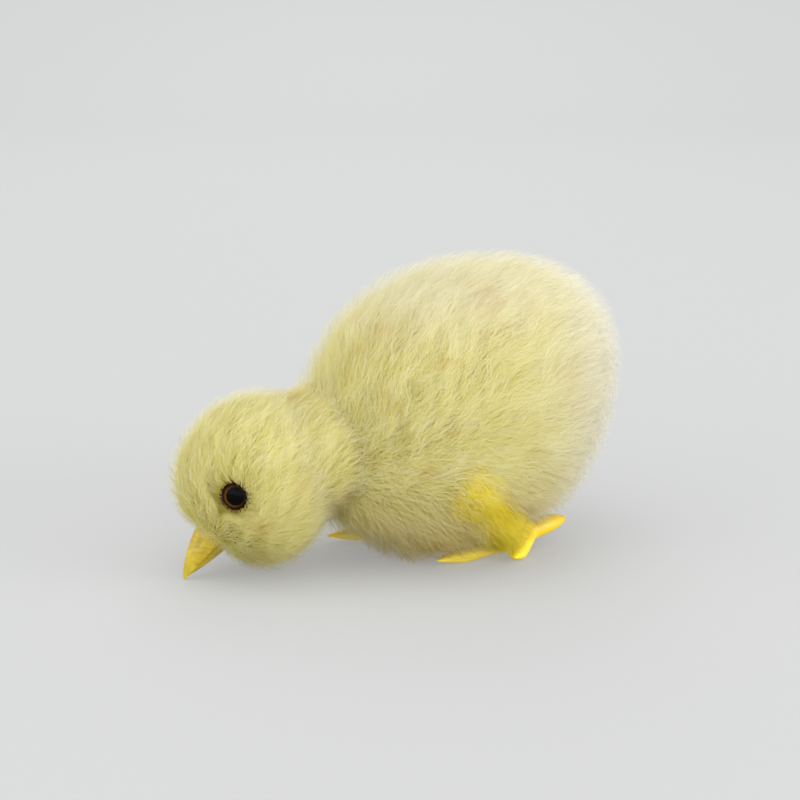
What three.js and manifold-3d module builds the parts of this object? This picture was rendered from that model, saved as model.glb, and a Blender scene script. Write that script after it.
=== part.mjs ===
// A wind-up hopping chick in its pecking stance: a fur coat over a hard plastic figure, with a small
// clockwork movement inside that rocks both legs about one hip shaft.
//
// Millimetres. +Z is up, the chick faces -Y and its left side is +X. The origin is on the floor, in the
// middle of the toy's length and width.
import * as THREE from 'three';
import { mergeVertices } from 'three/addons/utils/BufferGeometryUtils.js';
import Module from 'manifold-3d';

const wasm = await Module();
wasm.setup();

// ---------------------------------------------------------------- driving dimensions

const bodyLength = 65.5; // over the fur
const bodyWidth = 55;
const bodyHeight = 62;
const bodySquareness = 2.35; // 2 is an ellipsoid, more is boxier
const bodyLean = 0.24; // how far the back leans to the tail for each millimetre of height
const bellyGap = 0.8; // floor to the lowest belly fur
const bodyPile = 8; // fur pile and its backing

const headWidth = 35; // over the fur
const headLength = 37;
const headHeight = 37;
const headAhead = 11.25; // head centre ahead of the body's front
const headDrop = 12; // head centre below the body centre
const headPile = 5.5;
const neckWidth = 30;
const neckHeight = 26;
const neckLength = 28;
const neckTubeRadius = 7;
const neckTubeWall = 1.2;

const wall = 1.6; // moulded casings
const fit = 0.3; // gap between pieces that touch
const running = 0.35; // radial gap of a turning piece

const beakLength = 10.5; // visible, from the fur to the tip
const beakWidth = 9.4;
const upperBeakDepth = 5.4;
const lowerBeakDepth = 3.7;
const beakTipGap = 0.3; // floor to the beak's tip

const eyeDiameter = 6;
const pupilDiameter = 3.9;
const eyeForward = 61; // degrees from straight ahead, seen from above the head
const eyeLift = 31; // degrees above the beak's line

const stanceWidth = 18; // between the ankles
const stride = 16; // how far the right foot stands ahead of the left
const ankleHeight = 4.2;
const middleToeLength = 23.6;
const outerToeLength = 10;
const innerToeLength = 13;
const hindToeLength = 10.5;
const toeThickness = 3.7;
const solePress = 0.4; // how far the round toes are flattened underneath
const thighWidth = 15;
const thighLength = 21;
const thighTilt = 18; // degrees
const thighReach = 6.6; // ahead of the body's centre
const thighHeight = 18;
const thighDepth = 15.5; // inner end from the midline
const thighBulge = 0.7; // beyond the long fur
const shankThickness = 3.4;
const hopKick = 10; // degrees that the legs swing back from the stance
const hopReach = 2; // and forward of it

const gearModule = 0.6;
const greatTeeth = 30;
const secondTeeth = 26;
const pinionTeeth = 8;
const secondBearing = 106.25; // degrees up from the tail, seen from the crank
const winderBearing = 41.66; // and seen from the second wheel
const gearBacklash = 0.26; // share of a tooth's width taken off
const platesApart = 10.6; // between the inner faces
const plateThickness = 1.2;
const crankThrow = 2.2;
const crankPinRadius = 0.9;
const springStrip = 0.4;
const springPitch = 1.3;
const arborRadius = 1.3;
const pinRadius = 0.8;
const knobRadius = 6.4;
const screwRadius = 0.9;
const screwHeadRadius = 1.8;

// ---------------------------------------------------------------- places worked out from them

const half = 0.5;
const rad = THREE.MathUtils.degToRad;
const bodyCentre = new THREE.Vector3(0, 0, bellyGap + bodyHeight * half);
const headReach = bodyLength * half + headAhead; // head centre ahead of the body centre
const bodyRadii = new THREE.Vector3(bodyWidth, bodyLength, bodyHeight).multiplyScalar(half);
const headCentre = new THREE.Vector3(0, -headReach, bodyCentre.z - headDrop);
const headRadii = new THREE.Vector3(headWidth, headLength, headHeight).multiplyScalar(half);
const beakTipReach = headRadii.y + beakLength - 2.5; // the fur stands back 2.5 round the beak's root
const headPitch = Math.asin((headCentre.z - beakTipGap) / beakTipReach); // the beak touches the floor

const hip = new THREE.Vector2(6.2, 20.5); // Y and Z in the movement
const movementWidth = platesApart + 2 * plateThickness;
const legThickness = 3.2;
const legBossRadius = 3.4;
const legOffset = movementWidth * half + 0.5 + legThickness * half; // to the middle of a leg's thickness

// ---------------------------------------------------------------- materials

const paint = (color, roughness, metalness = 0) =>
  new THREE.MeshStandardMaterial({ color, roughness, metalness });
const materials = {
  fur: paint('#e2dc9a', 0.95),
  plush: paint('#d9c74e', 0.95),
  casing: paint('#efe9cf', 0.6),
  beak: paint('#e0b51e', 0.4),
  foot: paint('#e8cf2a', 0.45),
  eyeBlack: paint('#0b0908', 0.15),
  eyeAmber: paint('#7a4a12', 0.3),
  eyeClear: paint('#f4f4f4', 0.03),
  frame: paint('#d8dade', 0.5),
  gear: paint('#f2f0e6', 0.5),
  steel: paint('#9b9fa3', 0.35, 1),
  springSteel: paint('#4c5560', 0.3, 1),
};

// ---------------------------------------------------------------- solids

// A manifold solid from any closed three.js geometry.
function solid(geometry) {
  const plain = geometry.index ? geometry.toNonIndexed() : geometry;
  const bare = new THREE.BufferGeometry().setAttribute('position', plain.getAttribute('position'));
  const merged = mergeVertices(bare, 1e-4);
  return new wasm.Manifold(new wasm.Mesh({
    numProp: 3,
    vertProperties: merged.attributes.position.array,
    triVerts: new Uint32Array(merged.index.array),
  }));
}

const joined = (...pieces) => pieces.reduce((all, piece) => all.add(piece));
const cut = (piece, ...tools) => tools.reduce((left, tool) => left.subtract(tool), piece);

// The geometry of a manifold solid, without detail finer than the tolerance.
function geometryOf(piece, tolerance = 0.02) {
  const mesh = piece.simplify(tolerance).getMesh();
  const geometry = new THREE.BufferGeometry();
  geometry.setAttribute('position', new THREE.BufferAttribute(mesh.vertProperties, 3));
  geometry.setIndex(new THREE.BufferAttribute(mesh.triVerts, 1));
  return geometry;
}

function part(name, piece, material, parent) {
  const geometry = piece.isBufferGeometry ? piece : geometryOf(piece);
  geometry.computeVertexNormals();
  const mesh = new THREE.Mesh(geometry, material);
  mesh.name = name;
  parent.add(mesh);
  return mesh;
}

const shrunk = (radii, inset) => radii.clone().subScalar(inset);

// An icosphere pushed out to a superellipsoid, and leaned to the tail with height.
function roundedForm(centre, radii, detail, squareness = 2, lean = 0) {
  const geometry = new THREE.IcosahedronGeometry(1, detail);
  const places = geometry.attributes.position;
  const point = new THREE.Vector3();
  for (let i = 0; i < places.count; i += 1) {
    point.fromBufferAttribute(places, i).normalize();
    const sum = Math.abs(point.x / radii.x) ** squareness + Math.abs(point.y / radii.y) ** squareness
      + Math.abs(point.z / radii.z) ** squareness;
    point.multiplyScalar(sum ** (-1 / squareness));
    places.setXYZ(i, point.x, point.y + lean * point.z, point.z);
  }
  return geometry.translate(centre.x, centre.y, centre.z);
}

// A closed skin through rings of points that run from one end to the other.
function loft(rings) {
  const sides = rings[0].length;
  const corners = rings.flat();
  const ends = [rings[0], rings[rings.length - 1]].map((ring) =>
    ring.reduce((sum, point) => sum.add(point), new THREE.Vector3()).divideScalar(sides));
  const faces = [];
  for (let j = 0; j < sides; j += 1) {
    const next = (j + 1) % sides;
    faces.push(corners.length, next, j);
    for (let i = 0; i < rings.length - 1; i += 1) {
      const [a, b] = [i * sides, (i + 1) * sides];
      faces.push(a + j, a + next, b + j, a + next, b + next, b + j);
    }
    const last = (rings.length - 1) * sides;
    faces.push(corners.length + 1, last + j, last + next);
  }
  const geometry = new THREE.BufferGeometry().setFromPoints([...corners, ...ends]);
  return geometry.setIndex(faces);
}

// A limb with round sections along a line of joints, each { at, radius }, with domed ends.
function limb(joints, sides = 8, grown = 0) {
  const rings = [];
  const along = (i) => joints[Math.min(i + 1, joints.length - 1)].at.clone()
    .sub(joints[Math.max(i - 1, 0)].at).normalize();
  const ring = (centre, axis, radius) => {
    const side = new THREE.Vector3(0, 0, 1).cross(axis).normalize();
    if (side.lengthSq() < half) side.set(1, 0, 0);
    const rise = axis.clone().cross(side);
    return Array.from({ length: sides }, (_, k) => {
      const angle = (2 * Math.PI * k) / sides;
      return centre.clone().addScaledVector(side, radius * Math.cos(angle))
        .addScaledVector(rise, radius * Math.sin(angle));
    });
  };
  const dome = (joint, axis, sign) => [0.92, 0.55].map((depth) => ring(
    joint.at.clone().addScaledVector(axis, sign * (joint.radius + grown) * depth),
    axis,
    (joint.radius + grown) * Math.sqrt(1 - depth * depth),
  ));
  rings.push(...dome(joints[0], along(0), -1));
  joints.forEach((joint, i) => rings.push(ring(joint.at, along(i), joint.radius + grown)));
  rings.push(...dome(joints[joints.length - 1], along(joints.length - 1), 1).reverse());
  return solid(loft(rings));
}

// A round bar along X from one place to another, at (y, z).
function crossBar(radius, fromX, toX, y, z, sides = 20) {
  const bar = new THREE.CylinderGeometry(radius, radius, Math.abs(toX - fromX), sides);
  return solid(bar.rotateZ(Math.PI * half).translate((fromX + toX) * half, y, z));
}

function box(low, high) {
  const size = high.clone().sub(low);
  const centre = high.clone().add(low).multiplyScalar(half);
  return solid(new THREE.BoxGeometry(size.x, size.y, size.z).translate(centre.x, centre.y, centre.z));
}

// ---------------------------------------------------------------- the body's and head's rounded forms

const vast = 200;
const bodyForm = (inset, detail) =>
  solid(roundedForm(bodyCentre, shrunk(bodyRadii, inset), detail, bodySquareness, bodyLean));
const headForm = (inset, detail) => solid(roundedForm(headCentre, shrunk(headRadii, inset), detail));

// The neck runs from the head's centre towards the body's.
const neckSlope = Math.atan2(headDrop, headReach);
const neckPlace = new THREE.Matrix4().makeRotationX(neckSlope).setPosition(headCentre);
const seamReach = 14.5; // from the head's centre along the neck
const neckForm = () => {
  const radii = new THREE.Vector3(neckWidth, neckLength, neckHeight).multiplyScalar(half);
  const centre = new THREE.Vector3(0, seamReach - 3, 2.5);
  return solid(roundedForm(centre, radii, 4).applyMatrix4(neckPlace));
};
const neckRod = (radius, from, to) => {
  const rod = new THREE.CylinderGeometry(radius, radius, to - from, 24);
  return solid(rod.translate(0, (from + to) * half, 0).applyMatrix4(neckPlace));
};
// Everything ahead of the seam, or behind it.
const seamSide = (from, to) => {
  const slice = new THREE.BoxGeometry(vast, to - from, vast).translate(0, (from + to) * half, 0);
  return solid(slice.applyMatrix4(neckPlace));
};
const aheadOfSeam = seamSide(-vast, seamReach - fit * half);
const behindSeam = seamSide(seamReach + fit * half, vast);

const bodySkin = bodyPile + fit; // inset of the casing's outer face
const headSkin = headPile + fit;
const tubeFrom = headRadii.y - headSkin - wall - 3;
const tubeTo = headReach - bodyRadii.y + bodySkin + wall + 3;

// ---------------------------------------------------------------- legs

// Feet lie in the frame of one leg: the hip is above, the ankle at (0, 0, ankleHeight).
const toes = {
  middle: { angle: 9, length: middleToeLength, droop: 1 },
  outer: { angle: 50, length: outerToeLength, droop: 1 },
  inner: { angle: -34, length: innerToeLength, droop: 1 },
  hind: { angle: 187, length: hindToeLength, droop: -0.6 },
};

function toeJoints(ankle, side, { angle, length, droop }) {
  const thick = toeThickness * half;
  const heading = new THREE.Vector3(side * Math.sin(rad(angle)), -Math.cos(rad(angle)), 0);
  const slim = (share) => thick * (1.03 - 0.58 * share ** 2.4);
  const onFloor = (share) => slim(share) - solePress;
  const height = (share) => THREE.MathUtils.lerp(ankle.z, onFloor(share), Math.min(1, share / 0.5) * droop);
  return [0, 0.25, 0.5, 0.78, 1].map((share) => ({
    at: ankle.clone().addScaledVector(heading, share * (length - thick * half)).setZ(height(share)),
    radius: slim(share),
  }));
}

function legSpec(side) {
  const behind = -side * stride * half; // the left foot stands behind the right
  const ankle = new THREE.Vector3(side * stanceWidth * half, hip.x - behind, ankleHeight);
  const top = new THREE.Vector3(side * legOffset, hip.x, hip.y);
  const shank = [0, 0.5, 1].map((share) => ({
    at: top.clone().lerp(ankle, share),
    radius: shankThickness * half * (1 + 0.12 * share),
  }));
  return { side, ankle, top, shank, feet: Object.values(toes).map((toe) => toeJoints(ankle, side, toe)) };
}

const legs = { left: legSpec(1), right: legSpec(-1) };

// The room a leg needs as it swings from one end of its travel to the other.
function legSweep({ shank, feet }, margin) {
  const turned = (joints, degrees) => joints.map(({ at, radius }) => {
    const arm = new THREE.Vector3(at.x, at.y - hip.x, at.z - hip.y);
    arm.applyAxisAngle(new THREE.Vector3(1, 0, 0), rad(degrees));
    return { at: arm.add(new THREE.Vector3(0, hip.x, hip.y)), radius };
  });
  const ends = (joints) => [joints[0], joints[joints.length - 1]];
  const swing = [-hopReach, (hopKick - hopReach) * half, hopKick];
  const room = swing.flatMap((degrees) =>
    [shank, ...feet].map((joints) => limb(ends(turned(joints, degrees)), 6, margin)));
  return joined(...room);
}

const legBoss = ({ side, top }, margin = 0) => {
  const reach = legThickness * half + margin;
  return crossBar(
    legBossRadius + margin, side * (legOffset - reach), side * (legOffset + reach), top.y, top.z);
};

function makeLeg(leg) {
  const { side, shank, feet } = leg;
  const boss = legBoss(leg);
  const whole = joined(boss, limb(shank), ...feet.map((joints) => limb(joints)));
  const floor = box(new THREE.Vector3(-vast, -vast, -vast), new THREE.Vector3(vast, vast, 0));
  const squareHole = rockerEnd(side, fit * 0.6, 1);
  return cut(whole, floor, squareHole);
}

// The screw that holds a leg on the hip shaft, or the room for it.
function legScrew({ side }, margin = 0) {
  const seat = side * (legOffset + legThickness * half + 0.4);
  return joined(
    crossBar(screwHeadRadius + margin, seat, seat + side * (1 + margin), hip.x, hip.y, 16),
    crossBar(screwRadius - fit * half, seat - side * 4.5, seat, hip.x, hip.y, 12));
}

// The squared end of the hip shaft that a leg is pressed on, or the hole for it.
function rockerEnd(side, grown, extra) {
  const width = 1.5 + grown;
  const inner = movementWidth * half - extra;
  const outer = legOffset + legThickness * half - 0.2 + extra;
  const low = new THREE.Vector3(Math.min(side * inner, side * outer), hip.x - width, hip.y - width);
  const high = new THREE.Vector3(Math.max(side * inner, side * outer), hip.x + width, hip.y + width);
  return box(low, high);
}

// ---------------------------------------------------------------- the movement's own frame

// In the movement's plane x runs to the tail and y up, and its thickness runs along z to the chick's left.
const movement = new THREE.Group();
movement.quaternion.setFromRotationMatrix(new THREE.Matrix4().makeBasis(
  new THREE.Vector3(0, 1, 0), new THREE.Vector3(0, 0, 1), new THREE.Vector3(1, 0, 0)));

const pitchRadius = (teeth) => teeth * gearModule * half;
const meshDistance = (a, b) => pitchRadius(a) + pitchRadius(b) + 0.08;
const crankCentre = new THREE.Vector2(hip.x - 10, hip.y + 0.5);
// Each wheel stands in mesh with the one before it, at its own bearing.
const meshedWith = (from, teeth, bearing) => from.clone().add(
  new THREE.Vector2(meshDistance(teeth, pinionTeeth), 0).rotateAround(new THREE.Vector2(), rad(bearing)));
const secondCentre = meshedWith(crankCentre, secondTeeth, secondBearing);
const winderCentre = meshedWith(secondCentre, greatTeeth, winderBearing);


const greatRadius = pitchRadius(greatTeeth) + gearModule;
const greatRim = pitchRadius(greatTeeth) - 1.15 * gearModule - 0.71; // inside of the toothed rim
const greatHub = 3.8;
const pillarRadius = 1.5;
const pillarReach = greatRadius + pillarRadius + 1;
const pillars = [
  winderCentre.clone().add(new THREE.Vector2(pillarReach, 0)),
  winderCentre.clone().add(new THREE.Vector2(pillarReach, 0).rotateAround(new THREE.Vector2(), rad(162))),
  hip.clone().add(new THREE.Vector2(5, 6.5)),
];
const motorScrewPlaces = [
  pillars[0].clone().lerp(pillars[2], 0.47).add(new THREE.Vector2(-0.18, 0)),
  crankCentre.clone().add(new THREE.Vector2(-4.3, 1.6)),
];

// Layers through the movement, as [from, to] along its thickness.
const inner = platesApart * half;
const layers = {
  plateLeft: [inner, inner + plateThickness],
  plateRight: [-inner - plateThickness, -inner],
  spring: [-inner + 0.7, -1.3],
  ratchet: [-0.9, 0.2],
  click: [-0.85, 0.15],
  great: [0.9, 2.1],
  secondPinion: [0.5, 2.8],
  second: [2.8, 3.9],
  crankPinion: [2.4, 4.4],
  crankDisc: [-0.5, 0.9],
  crankPin: [-3.6, -0.5],
  fork: [-3.1, -1.5],
};

const depthOf = ([from, to]) => to - from;
function slab(shape, layer, curveSegments = 5) {
  const settings = { depth: depthOf(layer), bevelEnabled: false, curveSegments };
  const geometry = new THREE.ExtrudeGeometry(shape, settings);
  return solid(geometry.translate(0, 0, layer[0]));
}
function disc(radius, layer, centre = new THREE.Vector2(), sides = 24) {
  const round = new THREE.CylinderGeometry(radius, radius, depthOf(layer), sides);
  return solid(round.rotateX(Math.PI * half).translate(centre.x, centre.y, (layer[0] + layer[1]) * half));
}

function rectangle(width, height, centre = new THREE.Vector2()) {
  const corners = [[-1, -1], [1, -1], [1, 1], [-1, 1]];
  return new THREE.Shape(corners.map(([x, y]) =>
    new THREE.Vector2(centre.x + x * width * half, centre.y + y * height * half)));
}

// The outline of a belt round discs given anticlockwise, each { at, radius }.
function beltShape(discs) {
  const shape = new THREE.Shape();
  const tangents = discs.map((from, i) => {
    const to = discs[(i + 1) % discs.length];
    const line = to.at.clone().sub(from.at);
    return line.angle() - Math.acos((from.radius - to.radius) / line.length());
  });
  discs.forEach(({ at, radius }, i) => {
    const arrives = tangents[(i + discs.length - 1) % discs.length];
    shape.absarc(at.x, at.y, radius, arrives, tangents[i], false);
  });
  return shape;
}

// ---------------------------------------------------------------- gears

const pressureAngle = rad(25);
const involute = (angle) => Math.tan(angle) - angle;

function gearShape(teeth, phase) {
  const pitch = pitchRadius(teeth);
  const base = pitch * Math.cos(pressureAngle);
  const root = pitch - 1.15 * gearModule;
  const tip = pitch + 0.8 * gearModule;
  const halfTooth = (Math.PI * half * (1 - gearBacklash)) / teeth;
  const halfAt = (radius) => {
    const reach = Math.max(radius, base);
    return halfTooth + involute(pressureAngle) - involute(Math.acos(base / reach));
  };
  const flank = [root, Math.max(base, pitch - 0.3 * gearModule), tip];
  const points = [];
  for (let tooth = 0; tooth < teeth; tooth += 1) {
    const middleOf = phase + (2 * Math.PI * tooth) / teeth;
    const corners = [...flank.map((r) => [r, -halfAt(r)]), ...flank.toReversed().map((r) => [r, halfAt(r)])];
    corners.forEach(([radius, turn]) => {
      points.push(new THREE.Vector2(radius, 0).rotateAround(new THREE.Vector2(), middleOf + turn));
    });
  }
  return new THREE.Shape(points);
}

const direction = (from, to) => to.clone().sub(from).angle();
// A tooth of one wheel points at its partner, which has a gap there.
const toothTowards = (from, to) => direction(from, to);
const gapTowards = (from, to, teeth) => direction(from, to) + Math.PI / teeth;

// ---------------------------------------------------------------- the clockwork

function makePlates() {
  const outline = beltShape([
    { at: crankCentre, radius: 6.2 },
    { at: hip, radius: 4.4 },
    { at: pillars[2], radius: 2.8 },
    { at: pillars[0], radius: 2.8 },
    { at: winderCentre, radius: greatRadius + 0.8 },
    { at: pillars[1], radius: 2.8 },
    { at: secondCentre, radius: pitchRadius(secondTeeth) + 1.4 },
  ]);
  const bearings = (layer) => [
    disc(2.2 + running, layer, hip),
    disc(arborRadius + running, layer, winderCentre),
    disc(pinRadius + fit * half, layer, secondCentre, 16),
    disc(pinRadius + fit * half, layer, crankCentre, 16),
  ];
  const grow = ([from, to], by) => [from - by, to + by];
  const posts = pillars.map((at) => disc(pillarRadius, [-inner - 0.2, inner - fit], at, 16));
  const pilots = pillars.map((at) => disc(screwRadius, [inner - 6, inner + 1], at, 12));
  const motorHoles = motorScrewPlaces.map((at) =>
    disc(screwRadius + fit * half, grow(layers.plateRight, 1), at, 12));
  const posted = joined(slab(outline, layers.plateRight), ...posts);
  const right = cut(posted, ...bearings(grow(layers.plateRight, 1)), ...pilots, ...motorHoles);
  const screwHoles = pillars.map((at) => disc(screwRadius + fit * half, grow(layers.plateLeft, 1), at, 12));
  const left = cut(slab(outline, layers.plateLeft), ...bearings(grow(layers.plateLeft, 1)), ...screwHoles);
  part('motor_plate_right', right, materials.frame, movement);
  part('motor_plate_left', left, materials.frame, movement);
}

// A screw along z with a slotted head at `seat`. Its tip points to -z, or to z where headwards is -1.
function screw(name, at, seat, length, parent, headwards = 1) {
  const head = disc(screwHeadRadius, headwards > 0 ? [seat, seat + 1] : [seat - 1, seat], at, 16);
  const tipAt = seat - headwards * length;
  const shank = disc(screwRadius - fit * half, [Math.min(tipAt, seat), Math.max(tipAt, seat)], at, 12);
  const slotLayer = headwards > 0 ? [seat + 0.55, seat + 2] : [seat - 2, seat - 0.55];
  const slot = slab(rectangle(2 * screwHeadRadius + 1, 0.5, at), slotLayer);
  part(name, cut(joined(head, shank), slot), materials.steel, parent);
}

function makeScrews() {
  pillars.forEach((at, i) => screw(`plate_screw_${i + 1}`, at, inner + plateThickness + 0.1, 6, movement));
  motorScrewPlaces.forEach((at, i) => screw(`motor_screw_${i + 1}`, at, -inner + 0.1, 6.5, movement));
}

function makeWinder() {
  const knobFace = -bodyRadii.x + 0.4;
  const casingFace = -bodyRadii.x + bodyPile;
  const knobSeat = casingFace - 0.9;
  const arborSquare = arborRadius * 1.4;
  const arbor = joined(
    disc(arborRadius, [knobSeat + 0.2, inner + plateThickness - 0.2], new THREE.Vector2(), 20),
    slab(rectangle(arborSquare, arborSquare), [knobFace + 2.2, knobSeat + 0.4]),
    disc(arborRadius + 0.8, [-inner + 0.2, -inner + 0.6], new THREE.Vector2(), 20),
  );
  const place = (mesh) => mesh.position.set(winderCentre.x, winderCentre.y, 0);
  place(part('winding_arbor', arbor, materials.steel, movement));

  // An oval thumb piece on a round hub.
  const grip = beltShape([
    { at: new THREE.Vector2(-knobRadius + 2, 0), radius: 2 },
    { at: new THREE.Vector2(0, -1.1), radius: 2.2 },
    { at: new THREE.Vector2(knobRadius - 2, 0), radius: 2 },
    { at: new THREE.Vector2(0, 1.1), radius: 2.2 },
  ]);
  const hub = joined(slab(grip, [knobFace, knobFace + 4.6]), disc(3.2, [knobFace + 1, knobSeat]));
  const socket = slab(rectangle(arborSquare + fit, arborSquare + fit), [knobFace + 1.9, knobSeat + 1]);
  place(part('winding_knob', cut(hub, socket), materials.foot, movement));

  // A saw-toothed ratchet that the click rides over while the toy is wound.
  const ratchetTeeth = 10;
  const saw = Array.from({ length: ratchetTeeth }, (_, i) => {
    const at = (2 * Math.PI * i) / ratchetTeeth;
    return [[ratchetRadius - 0.9, at], [ratchetRadius, at + 0.03]].map(([r, a]) =>
      new THREE.Vector2(r * Math.cos(a), r * Math.sin(a)));
  }).flat();
  const ratchet = cut(slab(new THREE.Shape(saw), layers.ratchet), disc(arborRadius + fit * half, [-3, 3]));
  place(part('ratchet_wheel', ratchet, materials.steel, movement));
}

const ratchetRadius = 3.6;
const clickPivot = new THREE.Vector2(ratchetRadius + 2.3, 0);
const clickPegRadius = 0.7;

function makeGreatWheel() {
  const shape = gearShape(greatTeeth, toothTowards(winderCentre, secondCentre));
  const bore = disc(arborRadius + running, [-3, 4]);
  const pegHole = disc(clickPegRadius + fit * half, [-3, 4], clickPivot, 12);
  const windowAt = new THREE.Vector2((greatRim + greatHub) * half, 0);
  const windowRadius = (greatRim - greatHub) * half;
  const windows = [100, 190, 280].map((angle) =>
    disc(windowRadius, [-3, 4], windowAt.clone().rotateAround(new THREE.Vector2(), rad(angle)), 12));
  const wheel = cut(slab(shape, layers.great), bore, pegHole, ...windows);
  part('great_wheel', wheel, materials.gear, movement).position.set(winderCentre.x, winderCentre.y, 0);

  // The click is a curved finger whose peg sits in the great wheel and whose tip drops into the ratchet.
  const finger = beltShape([
    { at: clickPivot, radius: 1.3 },
    { at: new THREE.Vector2(4.6, 2.9), radius: 0.45 },
    { at: new THREE.Vector2(4.2, 1.6), radius: 0.35 },
  ]);
  const peg = disc(clickPegRadius, [layers.click[0] + 0.2, layers.great[1] - 0.2], clickPivot, 12);
  const click = joined(slab(finger, layers.click), peg);
  part('click', click, materials.springSteel, movement).position.set(winderCentre.x, winderCentre.y, 0);
}

// A flat strip wound from the arbor out to the frame pillar.
function makeMainspring() {
  const from = arborRadius + 0.9;
  const turns = (greatRadius - 1.4 - from) / springPitch;
  const stepsPerTurn = 16;
  const steps = Math.round(turns * stepsPerTurn);
  const at = (i, offset) => {
    const angle = (2 * Math.PI * i) / stepsPerTurn;
    const radius = from + (springPitch * i) / stepsPerTurn + offset;
    return new THREE.Vector2(radius * Math.cos(angle), radius * Math.sin(angle));
  };
  const inside = Array.from({ length: steps + 1 }, (_, i) => at(i, 0));
  const outside = Array.from({ length: steps + 1 }, (_, i) => at(i, springStrip));
  const strip = slab(new THREE.Shape([...outside, ...inside.reverse()]), layers.spring);
  part('mainspring', strip, materials.springSteel, movement).position.set(winderCentre.x, winderCentre.y, 0);
}

function makeSecondWheel() {
  const bore = disc(pinRadius + running, [-3, 6], new THREE.Vector2(), 16);
  const pinionPhase = gapTowards(secondCentre, winderCentre, pinionTeeth);
  const pinion = slab(gearShape(pinionTeeth, pinionPhase), layers.secondPinion);
  const wheel = slab(gearShape(secondTeeth, toothTowards(secondCentre, crankCentre)), layers.second);
  const mesh = part('second_wheel', cut(joined(pinion, wheel), bore), materials.gear, movement);
  mesh.position.set(secondCentre.x, secondCentre.y, 0);
  const plateToPlate = inner + plateThickness - 0.2;
  const pin = disc(pinRadius, [-plateToPlate, plateToPlate], secondCentre, 16);
  part('second_arbor', pin, materials.steel, movement);
}

function makeCrank() {
  const bore = disc(pinRadius + running, [-3.8, 6], new THREE.Vector2(), 16);
  const pinionPhase = gapTowards(crankCentre, secondCentre, pinionTeeth);
  const pinion = slab(gearShape(pinionTeeth, pinionPhase), layers.crankPinion);
  const hub = disc(pitchRadius(pinionTeeth) - 0.5, [layers.crankDisc[0], layers.crankPinion[1]]);
  const plate = disc(crankThrow + crankPinRadius + 0.8, layers.crankDisc);
  const pin = disc(crankPinRadius, layers.crankPin, new THREE.Vector2(0, crankThrow), 14);
  const mesh = part('crank_wheel', cut(joined(pinion, hub, plate, pin), bore), materials.gear, movement);
  mesh.position.set(crankCentre.x, crankCentre.y, 0);
  const arbor = disc(pinRadius, [layers.crankDisc[0] + 0.1, inner + plateThickness - 0.2], crankCentre, 16);
  part('crank_arbor', arbor, materials.steel, movement);
}

// The hip shaft and its driving arm in one moulding. The arm's round eye leaves the crank pin free at
// every angle, so that the pin knocks the legs to and fro.
function makeRocker() {
  const swingMiddle = rad((hopKick - hopReach) * half);
  const eyeAt = crankCentre.clone().rotateAround(hip, -swingMiddle);
  const reach = crankCentre.distanceTo(hip);
  const eyeRadius = crankThrow + crankPinRadius + reach * rad((hopKick + hopReach) * half) + 0.35;
  const armShape = beltShape([{ at: eyeAt, radius: eyeRadius + 1.2 }, { at: hip, radius: 3 }]);
  const arm = slab(armShape, layers.fork, 8);
  const shaft = disc(2.2, [-movementWidth * half - 0.1, movementWidth * half + 0.1], hip);
  const eye = disc(eyeRadius, [-6, 0], eyeAt, 24);
  const toWorld = new THREE.Matrix4().makeRotationFromQuaternion(movement.quaternion);
  const body = solid(geometryOf(cut(joined(arm, shaft), eye)).applyMatrix4(toWorld));
  const ends = [1, -1].map((side) => rockerEnd(side, 0, 0));
  const screwHoles = [1, -1].map((side) =>
    crossBar(screwRadius, side * (legOffset - 5), side * (legOffset + 5), hip.x, hip.y, 12));
  part('rocker', cut(joined(body, ...ends), ...screwHoles), materials.gear, chick);
}

// ---------------------------------------------------------------- the figure

const chick = new THREE.Group();
chick.add(movement);

const sweeps = Object.values(legs).flatMap((leg) => [
  legSweep(leg, 1.3), legBoss(leg, running), legScrew(leg, running)]);
const knobRoom = crossBar(knobRadius + 0.9, -vast, -bodyRadii.x * half, winderCentre.x, winderCentre.y, 28);
const screwPlaces = [
  new THREE.Vector2(-15, 16), // each casing screw, Y and Z
  new THREE.Vector2(-7, 49.2),
  new THREE.Vector2(17.2, 45.5),
  new THREE.Vector2(18.5, 26),
];
const bossRadius = 2.5;
const casingScrewSeat = 5;

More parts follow.
